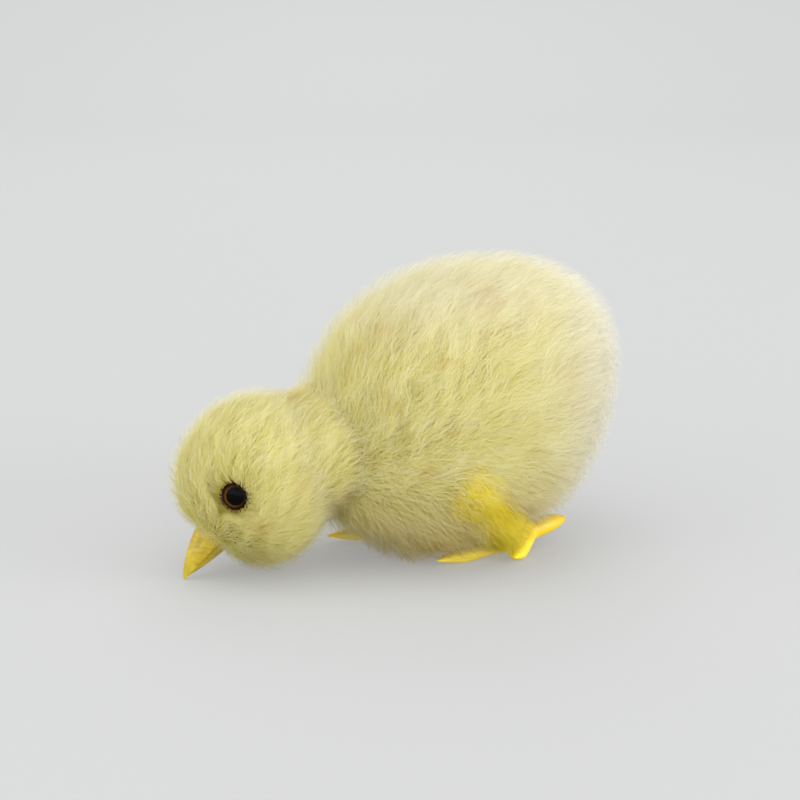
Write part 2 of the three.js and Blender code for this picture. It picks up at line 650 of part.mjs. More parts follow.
function makeBodyCasing() {
  const outer = bodyForm(bodySkin, 4);
  const cavity = bodyForm(bodySkin + wall, 4);
  const bosses = screwPlaces.map(({ x, y }) => crossBar(bossRadius, -vast, vast, x, y, 16));
  const motorPosts = motorScrewPlaces.map(({ x, y }) =>
    crossBar(2.2, -vast, -movementWidth * half - fit, x, y, 16).intersect(outer));
  const shell = cut(outer, cavity);
  const neckHole = neckRod(neckTubeRadius + fit, 0, tubeTo + 3);
  const arborHole = crossBar(arborRadius + running, -vast, 0, winderCentre.x, winderCentre.y);
  const ribbed = joined(shell, ...bosses.map((boss) => boss.intersect(outer)));
  const halves = {
    left: box(new THREE.Vector3(fit * half, -vast, -vast), new THREE.Vector3(vast, vast, vast)),
    right: box(new THREE.Vector3(-vast, -vast, -vast), new THREE.Vector3(-fit * half, vast, vast)),
  };
  const pilots = screwPlaces.map(({ x, y }) => crossBar(screwRadius, -8, 0, x, y, 12));
  const clearances = screwPlaces.flatMap(({ x, y }) => [
    crossBar(screwRadius + fit * half, 0, vast, x, y, 12),
    crossBar(screwHeadRadius + fit, casingScrewSeat, vast, x, y, 16),
  ]);
  const left = cut(ribbed.intersect(halves.left), neckHole, ...sweeps, ...clearances);
  const rightBlank = joined(ribbed.intersect(halves.right), ...motorPosts);
  const motorPilots = motorScrewPlaces.map(({ x, y }) =>
    crossBar(screwRadius, -inner - 7, -inner, x, y, 12));
  const right = cut(rightBlank, neckHole, ...sweeps, arborHole, ...pilots, ...motorPilots);
  part('body_shell_left', geometryOf(left, 0.05), materials.casing, chick);
  part('body_shell_right', geometryOf(right, 0.05), materials.casing, chick);
  // Screws lie along X, heads to the chick's left.
  const bench = new THREE.Group();
  bench.quaternion.copy(movement.quaternion);
  chick.add(bench);
  screwPlaces.forEach((at, i) => screw(`casing_screw_${i + 1}`, at, casingScrewSeat + 0.15, 10, bench));
}

function makeHeadCasing() {
  const outer = headForm(headSkin, 3);
  const cavity = headForm(headSkin + wall, 3);
  const neckHole = neckRod(neckTubeRadius + fit, 0, vast);
  const shell = cut(outer, cavity, neckHole, ...eyeStems, beakSocket());
  const left = box(new THREE.Vector3(fit * half, -vast, -vast), new THREE.Vector3(vast, vast, vast));
  const right = box(new THREE.Vector3(-vast, -vast, -vast), new THREE.Vector3(-fit * half, vast, vast));
  part('head_shell_left', shell.intersect(left), materials.casing, chick);
  part('head_shell_right', shell.intersect(right), materials.casing, chick);
  const tubeBore = neckRod(neckTubeRadius - neckTubeWall, tubeFrom - 1, tubeTo + 1);
  const tube = cut(neckRod(neckTubeRadius, tubeFrom, tubeTo), tubeBore);
  part('neck_tube', tube, materials.casing, chick);
}

// ---------------------------------------------------------------- the head's own frame

// Its -Y runs down the beak.
const head = new THREE.Group();
head.position.copy(headCentre);
head.rotation.x = headPitch;
head.updateMatrix();
chick.add(head);
const inHead = (geometry) => solid(geometry.applyMatrix4(head.matrix));

const beakRoot = headRadii.y - headSkin - wall - 1.2; // the root goes through the casing wall
const beakTip = beakTipReach;
const keel = 1.1; // each half stands a little higher along its middle

// One half of the beak: half-oval sections that narrow to the tip. sign is 1 for the upper half.
function beakHalf(depth, width, sign, tipDrop, length) {
  const sections = [0, 0.16, 0.34, 0.52, 0.7, 0.86, 0.97];
  const count = 9;
  const from = beakRoot;
  const rings = sections.map((share) => {
    const taper = (1 - share ** 1.45) ** 0.86;
    const y = -(from + share * (length - from));
    const line = sign * 0.12 - tipDrop * share ** 2.4;
    const across = width * half * taper;
    const rise = depth * taper ** (sign > 0 ? 0.8 : 1);
    const arch = Array.from({ length: count }, (_, k) => {
      const angle = (Math.PI * k) / (count - 1);
      const ridge = 1 + (keel - 1) * Math.sin(angle) ** 8;
      return new THREE.Vector3(
        across * Math.cos(angle), y, line + sign * rise * ridge * Math.sin(angle));
    });
    return sign > 0 ? arch : arch.reverse();
  });
  return loft(rings);
}

const beakSocket = () => {
  const sleeve = new THREE.CylinderGeometry(1, 1, 12, 24);
  sleeve.scale(beakWidth * half + 0.25, 1, (upperBeakDepth + lowerBeakDepth) * half * keel + 0.45);
  return inHead(sleeve.translate(0, -beakRoot - 1, (upperBeakDepth - lowerBeakDepth) * half * keel));
};

function makeBeak() {
  const upper = beakHalf(upperBeakDepth, beakWidth, 1, 0.7, beakTip);
  const lower = beakHalf(lowerBeakDepth, beakWidth * 0.92, -1, 0.5, beakTip - 1.1);
  part('beak_upper', solid(upper), materials.beak, head);
  part('beak_lower', solid(lower), materials.beak, head);
}

// Each eye looks along its own +Z, from the head's centre.
function eyeGroup(side) {
  const eye = new THREE.Group();
  const across = rad(eyeForward);
  const up = rad(eyeLift);
  const look = new THREE.Vector3(
    side * Math.sin(across) * Math.cos(up), -Math.cos(across) * Math.cos(up), Math.sin(up));
  const backing = 1 / look.clone().divide(shrunk(headRadii, headPile)).length();
  eye.position.copy(look).multiplyScalar(backing + 0.2); // the cup rests on the fur's backing
  eye.quaternion.setFromUnitVectors(new THREE.Vector3(0, 0, 1), look);
  head.add(eye);
  eye.updateMatrix();
  return eye;
}
const eyes = { left: eyeGroup(1), right: eyeGroup(-1) };
const eyeRadius = eyeDiameter * half;
const cupRadius = eyeRadius + 0.5;
const stemRadius = 1.2;
const stemLength = headPile * 0.1 + wall + 3.6;
const eyeRod = (eye, radius, from, to) => {
  const rod = new THREE.CylinderGeometry(radius, radius, to - from, 20).rotateX(Math.PI * half);
  return inHead(rod.translate(0, 0, (from + to) * half).applyMatrix4(eye.matrix));
};
const eyeStems = Object.values(eyes).map((eye) => eyeRod(eye, stemRadius + fit, -stemLength - 2, 1));

function makeEye(name, eye) {
  const turned = (outline, sides = 18) => {
    const profile = outline.map(([x, y]) => new THREE.Vector2(x, y));
    return solid(new THREE.LatheGeometry(profile, sides).rotateX(Math.PI * half));
  };
  const cup = turned([
    [0, -stemLength], [stemRadius, -stemLength], [stemRadius, 0], [cupRadius, 0], [cupRadius, 1.1],
    [eyeRadius + 0.1, 1.1], [eyeRadius + 0.1, 0.6], [0, 0.6]]);
  part(`eye_cup_${name}`, cup, materials.eyeBlack, eye);
  const pupilRadius = pupilDiameter * half;
  const iris = turned([
    [pupilRadius + 0.1, 0.75], [eyeRadius - 0.15, 0.75], [eyeRadius - 0.15, 1.05], [pupilRadius + 0.1, 1.3],
    [pupilRadius + 0.1, 0.75]]);
  part(`iris_${name}`, iris, materials.eyeAmber, eye);
  const pupil = turned([[0, 0.75], [pupilRadius - 0.1, 0.75], [pupilRadius - 0.1, 1.3], [0, 1.3]]);
  part(`pupil_${name}`, pupil, materials.eyeBlack, eye);
  const domeRise = 1.5;
  const bulge = Array.from({ length: 6 }, (_, i) => {
    const angle = rad(i * 18);
    return [eyeRadius * Math.cos(angle), 1.45 + domeRise * Math.sin(angle)];
  });
  const dome = turned([[0, 1.45], ...bulge.slice(0, -1), [0, 1.45 + domeRise]]);
  part(`eye_dome_${name}`, dome, materials.eyeClear, eye);
  const backAt = -headPile * 0.1 - wall - 0.9;
  const washer = turned([
    [stemRadius + 0.15, backAt - 1], [3, backAt - 1], [3, backAt - 0.4], [stemRadius + 0.15, backAt - 0.4],
    [stemRadius + 0.15, backAt - 1]], 16);
  part(`eye_washer_${name}`, washer, materials.steel, eye);
}

// ---------------------------------------------------------------- the fur coat

// A short-piled oval panel of the coat stands a little out of each flank as the chick's thigh. Its lower
// end leans towards the ankle, and the left one stands further back, as its foot does.
function thighForm({ side }, grown) {
  const oval = new THREE.CylinderGeometry(1, 1, vast, 24).rotateZ(Math.PI * half);
  oval.scale(1, thighWidth * half + grown, thighLength * half + grown).rotateX(rad(thighTilt));
  const forward = side * stride * 0.2 - thighReach;
  return solid(oval.translate(side * (vast * half + thighDepth - grown), forward, thighHeight));
}

function makeFur() {
  const tubeRoom = neckRod(neckTubeRadius + fit, 0, tubeTo + 1);
  const bodyInside = joined(bodyForm(bodyPile, 4), tubeRoom);
  const thighs = Object.entries(legs).map(([name, leg]) => [name, thighForm(leg, 0), thighForm(leg, fit)]);
  const bodyCoat = bodyForm(0, 5).add(neckForm().intersect(behindSeam));
  const frontless = bodyCoat.intersect(behindSeam);
  const coat = cut(frontless, bodyInside, knobRoom, ...sweeps, ...thighs.map(([, , room]) => room));
  part('body_fur', geometryOf(largest(coat), 0.1), materials.fur, chick);

  thighs.forEach(([name, form]) => {
    const panel = cut(form.intersect(bodyForm(-thighBulge, 5)), bodyForm(bodyPile - fit, 4));
    part(`thigh_patch_${name}`, panel, materials.plush, chick);
  });

  const headInside = joined(headForm(headPile, 3), tubeRoom);
  const headCoat = headForm(0, 4).add(neckForm()).intersect(aheadOfSeam);
  const sockets = Object.values(eyes).map((eye) => eyeRod(eye, cupRadius + 0.4, -4, 12));
  const floor = box(new THREE.Vector3(-vast, -vast, -vast), new THREE.Vector3(vast, vast, bellyGap));
  part('head_fur', largest(cut(headCoat, headInside, beakRoom(), ...sockets, floor)), materials.fur, chick);
}

const beakRoom = () => {
  const sleeve = new THREE.CylinderGeometry(0.75, 1.05, 24, 20);
  sleeve.scale(beakWidth * half + 0.5, 1, (upperBeakDepth + lowerBeakDepth) * half + 0.7);
  const middle = (upperBeakDepth - lowerBeakDepth) * half;
  return inHead(sleeve.rotateX(Math.PI).translate(0, -beakRoot - 11, middle));
};

// Crumbs that a cut leaves behind are dropped.
const largest = (piece) => piece.decompose().sort((a, b) => b.volume() - a.volume())[0];

function makeLegs() {
  Object.entries(legs).forEach(([name, leg]) => {
    part(`leg_${name}`, makeLeg(leg), materials.foot, chick);
    part(`leg_screw_${name}`, legScrew(leg), materials.steel, chick);
  });
}

makePlates();
makeScrews();
makeWinder();
makeGreatWheel();
makeMainspring();
makeSecondWheel();
makeCrank();
makeRocker();
makeLegs();
makeBodyCasing();
makeHeadCasing();
makeBeak();
Object.entries(eyes).forEach(([name, eye]) => makeEye(name, eye));
makeFur();

// Until here the body's centre stands at the origin. The toy is moved to the middle of its length.
const toy = new THREE.Group();
toy.add(chick);
toy.updateMatrixWorld(true);
chick.position.y = -new THREE.Box3().setFromObject(chick, true).getCenter(new THREE.Vector3()).y;
export default toy;
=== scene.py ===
import math
import bpy
import bmesh
import numpy as np
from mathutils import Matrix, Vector, kdtree


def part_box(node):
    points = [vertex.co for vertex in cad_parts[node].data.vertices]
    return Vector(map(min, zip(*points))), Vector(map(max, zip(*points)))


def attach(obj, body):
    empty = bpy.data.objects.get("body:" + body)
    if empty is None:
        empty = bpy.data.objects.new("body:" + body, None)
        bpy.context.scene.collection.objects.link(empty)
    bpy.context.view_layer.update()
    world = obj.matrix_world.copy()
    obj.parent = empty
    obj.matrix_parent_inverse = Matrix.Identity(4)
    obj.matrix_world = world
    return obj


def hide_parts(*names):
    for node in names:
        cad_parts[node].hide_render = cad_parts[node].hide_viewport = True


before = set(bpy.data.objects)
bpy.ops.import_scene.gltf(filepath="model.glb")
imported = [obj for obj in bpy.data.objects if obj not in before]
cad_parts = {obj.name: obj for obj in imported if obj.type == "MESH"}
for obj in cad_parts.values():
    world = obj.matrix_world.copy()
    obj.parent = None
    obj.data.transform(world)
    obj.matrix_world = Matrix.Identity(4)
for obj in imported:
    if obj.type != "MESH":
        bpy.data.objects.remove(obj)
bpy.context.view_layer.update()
mm = 0.001
rng = np.random.default_rng(23)


def boxOf(node):
    low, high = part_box(node)
    return np.array(low) / mm, np.array(high) / mm


# materials: helpers


def toLinear(hexColour):
    parts = [int(hexColour[i:i + 2], 16) / 255 for i in (1, 3, 5)]
    return [p / 12.92 if p <= 0.04045 else ((p + 0.055) / 1.055) ** 2.4 for p in parts] + [1]


# settings hold a node's own choices or its inputs' values, links hold what each input is fed by:
# an output, or a node whose first output is meant
def addNode(tree, kind, settings=None, links=None):
    node = tree.nodes.new("ShaderNode" + kind)
    for key, value in (settings or {}).items():
        if isinstance(key, int) or key in node.inputs:
            node.inputs[key].default_value = value
        else:
            setattr(node, key, value)
    for key, source in (links or {}).items():
        socket = source.outputs[0] if isinstance(source, bpy.types.Node) else source
        tree.links.new(socket, node.inputs[key])
    return node


# a new material, its nodes, and places on the piece in metres
def newMaterial(name):
    material = bpy.data.materials.new(name)
    material.use_nodes = True
    tree = material.node_tree
    tree.nodes.clear()
    return material, tree, addNode(tree, "TexCoord").outputs["Object"]


def finishMaterial(tree, shader):
    addNode(tree, "OutputMaterial", {}, {"Surface": shader})


def setRamp(node, stops):
    ramp = node.color_ramp
    while len(ramp.elements) < len(stops):
        ramp.elements.new(0.5)
    for element, (place, colour) in zip(ramp.elements, stops):
        element.position = place
        element.color = toLinear(colour)


# colour is (pattern, stops), gloss (pattern, smoothest, roughest), relief (pattern, strength, millimetres)
def finishSurface(tree, settings, colour, gloss=None, relief=None):
    ramp = addNode(tree, "ValToRGB", {}, {"Fac": colour[0]})
    setRamp(ramp, colour[1])
    links = {"Base Color": ramp}
    if gloss:
        uneven = addNode(tree, "MapRange", {"To Min": gloss[1], "To Max": gloss[2]}, {"Value": gloss[0]})
        links["Roughness"] = uneven
    if relief:
        bump = addNode(
            tree, "Bump", {"Strength": relief[1], "Distance": relief[2] * mm}, {"Height": relief[0]})
        links["Normal"] = bump
    finishMaterial(tree, addNode(tree, "BsdfPrincipled", settings, links))


# the rounded forms under the fur, in millimetres

bodyLow, bodyHigh = boxOf("body_fur")
headLow, headHigh = boxOf("head_fur")
upperBeakLow, upperBeakHigh = boxOf("beak_upper")

figure = {
    "bodyLength": 65.5,
    "squareness": 2.35,
    "lean": 0.24,
    "headWidth": 35,
    "headSize": 37,
    "neck": (35.5, 35, 27.5),  # width, length, height
    "neckCentre": (14.8, 1.6),  # behind and above the head's centre, along the neck
    "headReach": 44,
    "headDrop": 12,
    "tailBehind": 34.1,  # from the body's centre to its tail, the lean included
    "beakSunk": 3.5,  # the beak starts this far under the head's surface
}


def makeForm(centre, radii, power=2.0, lean=0.0, turn=0.0):
    c, s = math.cos(turn), math.sin(turn)
    return {
        "centre": np.array(centre, float),
        "radii": np.array(radii, float),
        "power": power,
        "lean": lean,
        "turn": np.array([[1, 0, 0], [0, c, -s], [0, s, c]]),
    }


bodyHeight = bodyHigh[2] - bodyLow[2]
bodyCentreZ = (bodyLow[2] + bodyHigh[2]) / 2
bodyCentreY = bodyHigh[1] - figure["tailBehind"]
headCentre = np.array([0, bodyCentreY - figure["headReach"], bodyCentreZ - figure["headDrop"]])
neckSlope = math.atan2(figure["headDrop"], figure["headReach"])
neckBack, neckUp = figure["neckCentre"]
neckCentre = headCentre + np.array([
    0,
    neckBack * math.cos(neckSlope) - neckUp * math.sin(neckSlope),
    neckBack * math.sin(neckSlope) + neckUp * math.cos(neckSlope),
])
bodyForm = makeForm(
    (0, bodyCentreY, bodyCentreZ),
    ((bodyHigh[0] - bodyLow[0]) / 2, figure["bodyLength"] / 2, bodyHeight / 2),
    figure["squareness"], figure["lean"])
headForm = makeForm(headCentre, (figure["headWidth"] / 2, figure["headSize"] / 2, figure["headSize"] / 2))
neckForm = makeForm(neckCentre, np.array(figure["neck"]) / 2, turn=neckSlope)

beakTip = np.array([0, upperBeakLow[1], upperBeakLow[2]])
beakLine = beakTip - headCentre
beakReach = np.linalg.norm(beakLine)
beakLine /= beakReach
beakBase = headCentre + beakLine * (figure["headSize"] / 2 - figure["beakSunk"])


def unit(v):
    return v / np.maximum(np.linalg.norm(v, axis=-1, keepdims=True), 1e-9)


def toForm(form, points):
    q = (points - form["centre"]) @ form["turn"]
    q[..., 1] -= form["lean"] * q[..., 2]
    return q


def formPoint(form, aim, inset):
    radii = form["radii"] - np.asarray(inset, float)[..., None]
    reach = (np.abs(aim / radii) ** form["power"]).sum(-1) ** (-1 / form["power"])
    q = aim * reach[..., None]
    q[..., 1] += form["lean"] * q[..., 2]
    return q @ form["turn"].T + form["centre"]


def formNormal(form, points):
    q = toForm(form, points)
    g = np.sign(q) * np.abs(q / form["radii"]) ** (form["power"] - 1) / form["radii"]
    g[..., 2] -= form["lean"] * g[..., 1]
    return unit(g @ form["turn"].T)


def inside(form, points, inset):
    q = np.abs(toForm(form, points) / (form["radii"] - inset)) ** form["power"]
    return q.sum(-1) < 1


def smooth(value, low, high):
    t = np.clip((value - low) / (high - low), 0, 1)
    return t * t * (3 - 2 * t)


# slow waves between about -1 and 1, as far apart as size
def ripple(points, size, seed):
    turns = np.random.default_rng(seed)
    total = 0
    for _ in range(5):
        heading = unit(turns.normal(size=3)) * (2 * math.pi / size) * turns.uniform(0.6, 1.5)
        total = total + np.sin(points @ heading + turns.uniform(0, 6.28))
    return total / 2.2


# what the fur keeps clear of

eyes = {}
for side, sign in (("left", 1), ("right", -1)):
    low, high = boxOf("eye_dome_" + side)
    middle = (low + high) / 2
    eyes[side] = {"at": middle, "look": unit(middle - headCentre), "sign": sign}

patchMiddles = {side: np.mean(boxOf("thigh_patch_" + side), axis=0)[1] for side in ("left", "right")}
footBoxes = {side: boxOf("leg_" + side) for side in ("left", "right")}
thigh = {  # a tapered bulge, in millimetres
    "kneeOut": 19.4,
    "kneeUp": 20.2,
    "kneeAhead": 1.6,  # ahead of the patch's middle
    "kneeSize": 6.8,
    "hockOut": 15.2,
    "hockUp": 9.2,
    "hockBehind": 8.0,
    "hockSize": 4.3,
}
knobAt = np.mean(boxOf("winding_knob"), axis=0)
stand = {  # millimetres
    "ankleOut": 9,
    "ankleUp": 4.2,
    "toeTipAhead": 23.2,  # ankle to the middle toe's tip
    "hindTipUp": 6.0,
    "toeTipUp": 0.8,
    "hipUp": 20.5,
    "hipBack": 8.0,  # the left ankle stands this far behind the hip, the right one ahead of it
}
signOf = {"left": 1, "right": -1}
ankles = {
    side: np.array([
        sign * stand["ankleOut"], footBoxes[side][0][1] + stand["toeTipAhead"], stand["ankleUp"]])
    for side, sign in signOf.items()
}
room = {  # how far the fur stays from each piece, in millimetres
    "eye": 2.75,
    "eyeDepth": 3.0,
    "beak": (4.5, 4.6),  # half the width, half the height
    "beakLift": 0.9,
    "beakDepth": 12,  # from the head's centre
    "knob": 7.3,
    "toe": (2.0, 1.3),  # at the ankle, at the tip
    "toeGap": 0.9,
    "thighGap": 0.3,
    "thighLap": 4.5,  # strands lap this far over the thigh's upper end
    "thighLapEnds": 0.4,  # share of the way down
    "thighInner": 8,
    "outline": (2.2, 0.4),  # the thigh's bare face is narrower by this at the knee, at the hock
    "overUpper": 4.6,
    "overLower": 0.8,
    "overUpperEnds": 0.3,
    "overScatter": 2.2,
}


def thighEnds(side):
    sign = signOf[side]
    middle = patchMiddles[side]
    knee = np.array([sign * thigh["kneeOut"], middle - thigh["kneeAhead"], thigh["kneeUp"]])
    hock = np.array([sign * thigh["hockOut"], middle + thigh["hockBehind"], thigh["hockUp"]])
    return knee, hock


# distance outside a tapered bar, and the share of the way along it
def alongTaper(points, start, end, startSize, endSize):
    line = end - start
    share = np.clip(((points - start) @ line) / (line @ line), 0, 1)
    centre = start + share[..., None] * line
    return np.linalg.norm(points - centre, axis=-1) - (startSize + (endSize - startSize) * share), share


# which way the fur lies

flow = {
    "heights": [0, 8, 16, 24, 32, 44, 56, 66],
    "rise": [-40, -34, -16, 2, 26, 42, 40, 24],  # degrees up from level, at those heights
    "tailFall": 0.7,  # degrees less for each millimetre towards the tail
}


def bodyFlow(points, normals):
    rise = np.interp(points[..., 2], flow["heights"], flow["rise"])
    rise = np.radians(rise - flow["tailFall"] * (points[..., 1] - bodyCentreY))
    lie = np.stack([np.zeros_like(rise), np.cos(rise), np.sin(rise)], -1)
    rump = smooth(normals[..., 1], 0.45, 0.95)[..., None]
    return lie * (1 - rump) + np.array([0, 0.35, -0.9]) * rump


def headFlow(points, normals):
    lie = unit(points - beakBase)
    for eye in eyes.values():
        away = points - eye["at"]
        near = np.exp(-(np.linalg.norm(away, axis=-1) / 5.0) ** 2)[..., None]
        lie = lie + 1.6 * near * unit(away)
    return lie


def neckFlow(points, normals):
    share = smooth(points[..., 1], headCentre[1] + 6, headCentre[1] + 24)[..., None]
    return unit(headFlow(points, normals)) * (1 - share) + unit(bodyFlow(points, normals)) * share


def layAlong(flowOf, points, normals, twist):
    lie = flowOf(points, normals)
    lie = unit(lie - (lie * normals).sum(-1, keepdims=True) * normals)
    across = np.cross(normals, lie)
    turned = np.radians(twist + 9 * ripple(points, 15, 3) + 12 * ripple(points, 5.5, 4))
    return lie * np.cos(turned)[..., None] + across * np.sin(turned)[..., None]


# growing strands


# points along each strand, and the coat's normals there
def growPaths(form, aims, flowOf, run, rootInset, tipInset, twist, steps):
    place = formPoint(form, aims, rootInset)
    points, normals = [place], [formNormal(form, place)]
    for k in range(1, steps + 1):
        share = k / steps
        lie = layAlong(flowOf, place, normals[-1], twist)
        ahead = place + lie * (run * (0.55 + 0.9 * share) / steps / 1.1)[..., None]
        aim = unit(toForm(form, ahead))
        lift = 1 - (1 - share) ** 1.7
        place = formPoint(form, aim, rootInset + (tipInset - rootInset) * lift)
        points.append(place)
        normals.append(formNormal(form, place))
    return np.stack(points, 1), np.stack(normals, 1)


# pulls strands towards the nearest of many guide strands, more at their tips
def gather(points, form, flowOf, coat):
    count, steps = points.shape[0], points.shape[1] - 1
    guides = unit(rng.normal(size=(coat["tufts"], 3)))
    still = np.zeros(coat["tufts"])
    run, root, tip = (still + size for size in (coat["run"], coat["root"], sum(coat["tip"]) / 2))
    guidePaths, _ = growPaths(form, guides, flowOf, run, root, tip, still, steps)
    tree = kdtree.KDTree(coat["tufts"])
    for i, root in enumerate(guidePaths[:, 0]):
        tree.insert(root, i)
    tree.balance()
    nearest = np.array([tree.find(root)[1] for root in points[:, 0]])
    pull = rng.uniform(*coat["gather"], count)[:, None] * (np.linspace(0, 1, steps + 1) ** 1.6)[None]
    return points + (guidePaths[nearest] - points) * pull[..., None], nearest


# how far along a line each point lies, and its offset from the line
def alongLine(points, start, heading):
    depth = (points - start) @ heading
    return depth, points - start - depth[..., None] * heading


# which strands stay clear of the eyes, the beak, the knob, the feet and the thighs
def keepClear(points):
    keep = np.ones(len(points), bool)
    for eye in eyes.values():
        depth, aside = alongLine(points, eye["at"], eye["look"])
        out = np.linalg.norm(aside, axis=-1)
        keep &= ~((out < room["eye"]) & (depth > -room["eyeDepth"])).any(1)
    depth, aside = alongLine(points, headCentre, beakLine)
    up = np.cross(np.array([1.0, 0, 0]), beakLine)
    up = up if up[2] > 0 else -up
    wide = np.abs(aside[..., 0]) / room["beak"][0]
    tall = (aside @ up - room["beakLift"]) / room["beak"][1]
    keep &= ~((np.hypot(wide, tall) < 1) & (depth > room["beakDepth"])).any(1)
    beside = np.linalg.norm(points[..., 1:] - knobAt[1:], axis=-1)
    keep &= ~((beside < room["knob"]) & (points[..., 0] < knobAt[0] / 2)).any(1)
    for side, sign in signOf.items():
        for toe in toesOf(side):
            gap, _ = alongTaper(points, toe["from"], toe["to"], *room["toe"])
            keep &= ~(gap < room["toeGap"]).any(1)
        knee, hock = thighEnds(side)
        gap, share = alongTaper(points, knee, hock, thigh["kneeSize"], thigh["hockSize"])
        allowed = room["thighGap"] - room["thighLap"] * (share < room["thighLapEnds"])
        keep &= ~((gap < allowed) & (points[..., 0] * sign > room["thighInner"])).any(1)
        outline = points.copy()  # little hangs across the thigh's outer face
        outline[..., 0] = (knee + share[..., None] * (hock - knee))[..., 0]
        sizes = thigh["kneeSize"] - room["outline"][0], thigh["hockSize"] - room["outline"][1]
        gap, share = alongTaper(outline, knee, hock, *sizes)
        over = np.where(share < room["overUpperEnds"], room["overUpper"], room["overLower"])
        over = over + room["overScatter"] * rng.random(len(points))[:, None]
        keep &= ~((gap < -over) & (points[..., 0] * sign > thigh["hockOut"])).any(1)
    return keep


toeShapes = {  # degrees from straight ahead towards the outside, and length
    "middle": (9, 23.6),
    "outer": (50, 10.5),
    "inner": (-34, 13.0),
    "hind": (187, 10.5),
}


def toesOf(side):
    sign = signOf[side]
    found = []
    for name, (angle, length) in toeShapes.items():
        a = math.radians(angle)
        heading = np.array([sign * math.sin(a), -math.cos(a), 0])
        tip = ankles[side] + heading * (length - 0.9)
        tip[2] = stand["hindTipUp"] if name == "hind" else stand["toeTipUp"]
        found.append({"name": name, "from": ankles[side], "to": tip, "heading": heading, "length": length})
    return found


ribbon = {
    "roll": 0.55,  # how unevenly the ribbons are turned about their length, in radians
    "taper": 0.72,  # share of the width lost before the last row
    "taperBend": 1.4,
    "shadeScatter": 0.1,
}


# flat tapered ribbons that end in a point
def ribbonMesh(name, points, normals, halfWidth, tint, tuft, material):
    count, rows = points.shape[:2]
    along = np.gradient(points, axis=1)
    along = unit(along)
    roll = rng.normal(0, ribbon["roll"], count)[:, None, None]
    side = unit(np.cross(along, normals))
    face = np.cross(side, along)
    across = side * np.cos(roll) + face * np.sin(roll)
    share = np.linspace(0, 1, rows)
    width = halfWidth[:, None] * (1 - ribbon["taper"] * share[None] ** ribbon["taperBend"])
    left = points - across * width[..., None]
    right = points + across * width[..., None]
    body = np.stack([left[:, :-1], right[:, :-1]], 2).reshape(count, -1, 3)
    verts = np.concatenate([body, points[:, -1:]], 1)  # two for each row, and one tip
    per = verts.shape[1]
    scatter = rng.normal(0, ribbon["shadeScatter"], count)[:, None, None]
    shading = unit(normals + side * scatter + 0.1 * along)
    lit = np.concatenate([np.repeat(shading[:, :-1], 2, axis=1), shading[:, -1:]], 1)
    quads = np.array([[2 * k, 2 * k + 1, 2 * k + 3, 2 * k + 2] for k in range(rows - 2)])
    last = np.array([per - 3, per - 2, per - 1])
    base = (np.arange(count) * per)[:, None]
    loops = np.concatenate([base + quads.reshape(1, -1), base + last[None]], 1)
    sizes = np.tile(np.array([4] * len(quads) + [3]), count)
    mesh = bpy.data.meshes.new(name)
    mesh.vertices.add(count * per)
    mesh.vertices.foreach_set("co", (verts * mm).astype(np.float32).ravel())
    mesh.loops.add(loops.size)
    mesh.loops.foreach_set("vertex_index", loops.astype(np.int32).ravel())
    mesh.polygons.add(len(sizes))
    mesh.polygons.foreach_set("loop_start", np.concatenate([[0], np.cumsum(sizes)[:-1]]).astype(np.int32))
    mesh.update(calc_edges=True)
    rowOf = np.concatenate([np.repeat(share[:-1], 2), [1.0]])
    sideOf = np.concatenate([np.tile([-1.0, 1.0], rows - 1), [0.0]])
    for label, values in (
        ("along", np.tile(rowOf, count)), ("tint", np.repeat(tint, per)), ("tuft", np.repeat(tuft, per))):
        mesh.attributes.new(label, "FLOAT", "POINT").data.foreach_set("value", values.astype(np.float32))
    columns = math.ceil(math.sqrt(count))
    cell = np.arange(count)
    u = ((cell % columns)[:, None] + 0.5 + 0.3 * sideOf[None]) / columns
    v = ((cell // columns)[:, None] + 0.1 + 0.8 * rowOf[None]) / columns
    uvs = np.stack([u, v], -1).reshape(-1, 2)[loops.ravel()]
    layer = mesh.uv_layers.new(name="OFBake")
    layer.data.foreach_set("uv", uvs.astype(np.float32).ravel())
    mesh.normals_split_custom_set_from_vertices(lit.reshape(-1, 3).astype(np.float32))
    piece = bpy.data.objects.new(name, mesh)
    bpy.context.collection.objects.link(piece)
    mesh.materials.append(material)
    return piece


coats = {  # counts, and sizes in millimetres
    "body": {"count": 150000, "run": 9.5, "root": 5.2, "tip": (-0.6, 2.2), "width": 0.1, "tufts": 12000,
             "gather": (0.0, 0.31), "spread": 9},
    "bodyDown": {"count": 64000, "run": 8.0, "root": 3.6, "tip": (-3.6, 0.3), "width": 0.058, "tufts": 6000,
                 "gather": (0.0, 0.2), "spread": 24},
    "neck": {"count": 26000, "run": 8.5, "root": 4.0, "tip": (-0.4, 1.7), "width": 0.12, "tufts": 3000,
             "gather": (0.0, 0.4), "spread": 9},
    "neckDown": {"count": 13000, "run": 7.0, "root": 2.8, "tip": (-2.4, 0.3), "width": 0.058, "tufts": 3000,
                 "gather": (0.0, 0.2), "spread": 24},
    "head": {"count": 62000, "run": 5.6, "root": 3.4, "tip": (-0.3, 1.3), "width": 0.11, "tufts": 7000,
             "gather": (0.0, 0.35), "spread": 9},
    "headDown": {"count": 26000, "run": 5.0, "root": 2.6, "tip": (-2.4, 0.2), "width": 0.052, "tufts": 3000,
                 "gather": (0.0, 0.2), "spread": 24},
}
strandSteps = 3
mostInPiece = 39000  # strands
gatherLeast = 0.3  # coats that gather less than this are left loose


breast = {"clipped": 3.4, "ahead": 31, "reach": 10, "up": (7, 20)}  # millimetres


# the breast is clipped short underneath, so that the feet stand free of it
def breastTrim(skin):
    ahead = np.exp(-((skin[..., 1] - (bodyCentreY - breast["ahead"])) / breast["reach"]) ** 2)
    return breast["clipped"] * ahead * (1 - smooth(skin[..., 2], *breast["up"]))


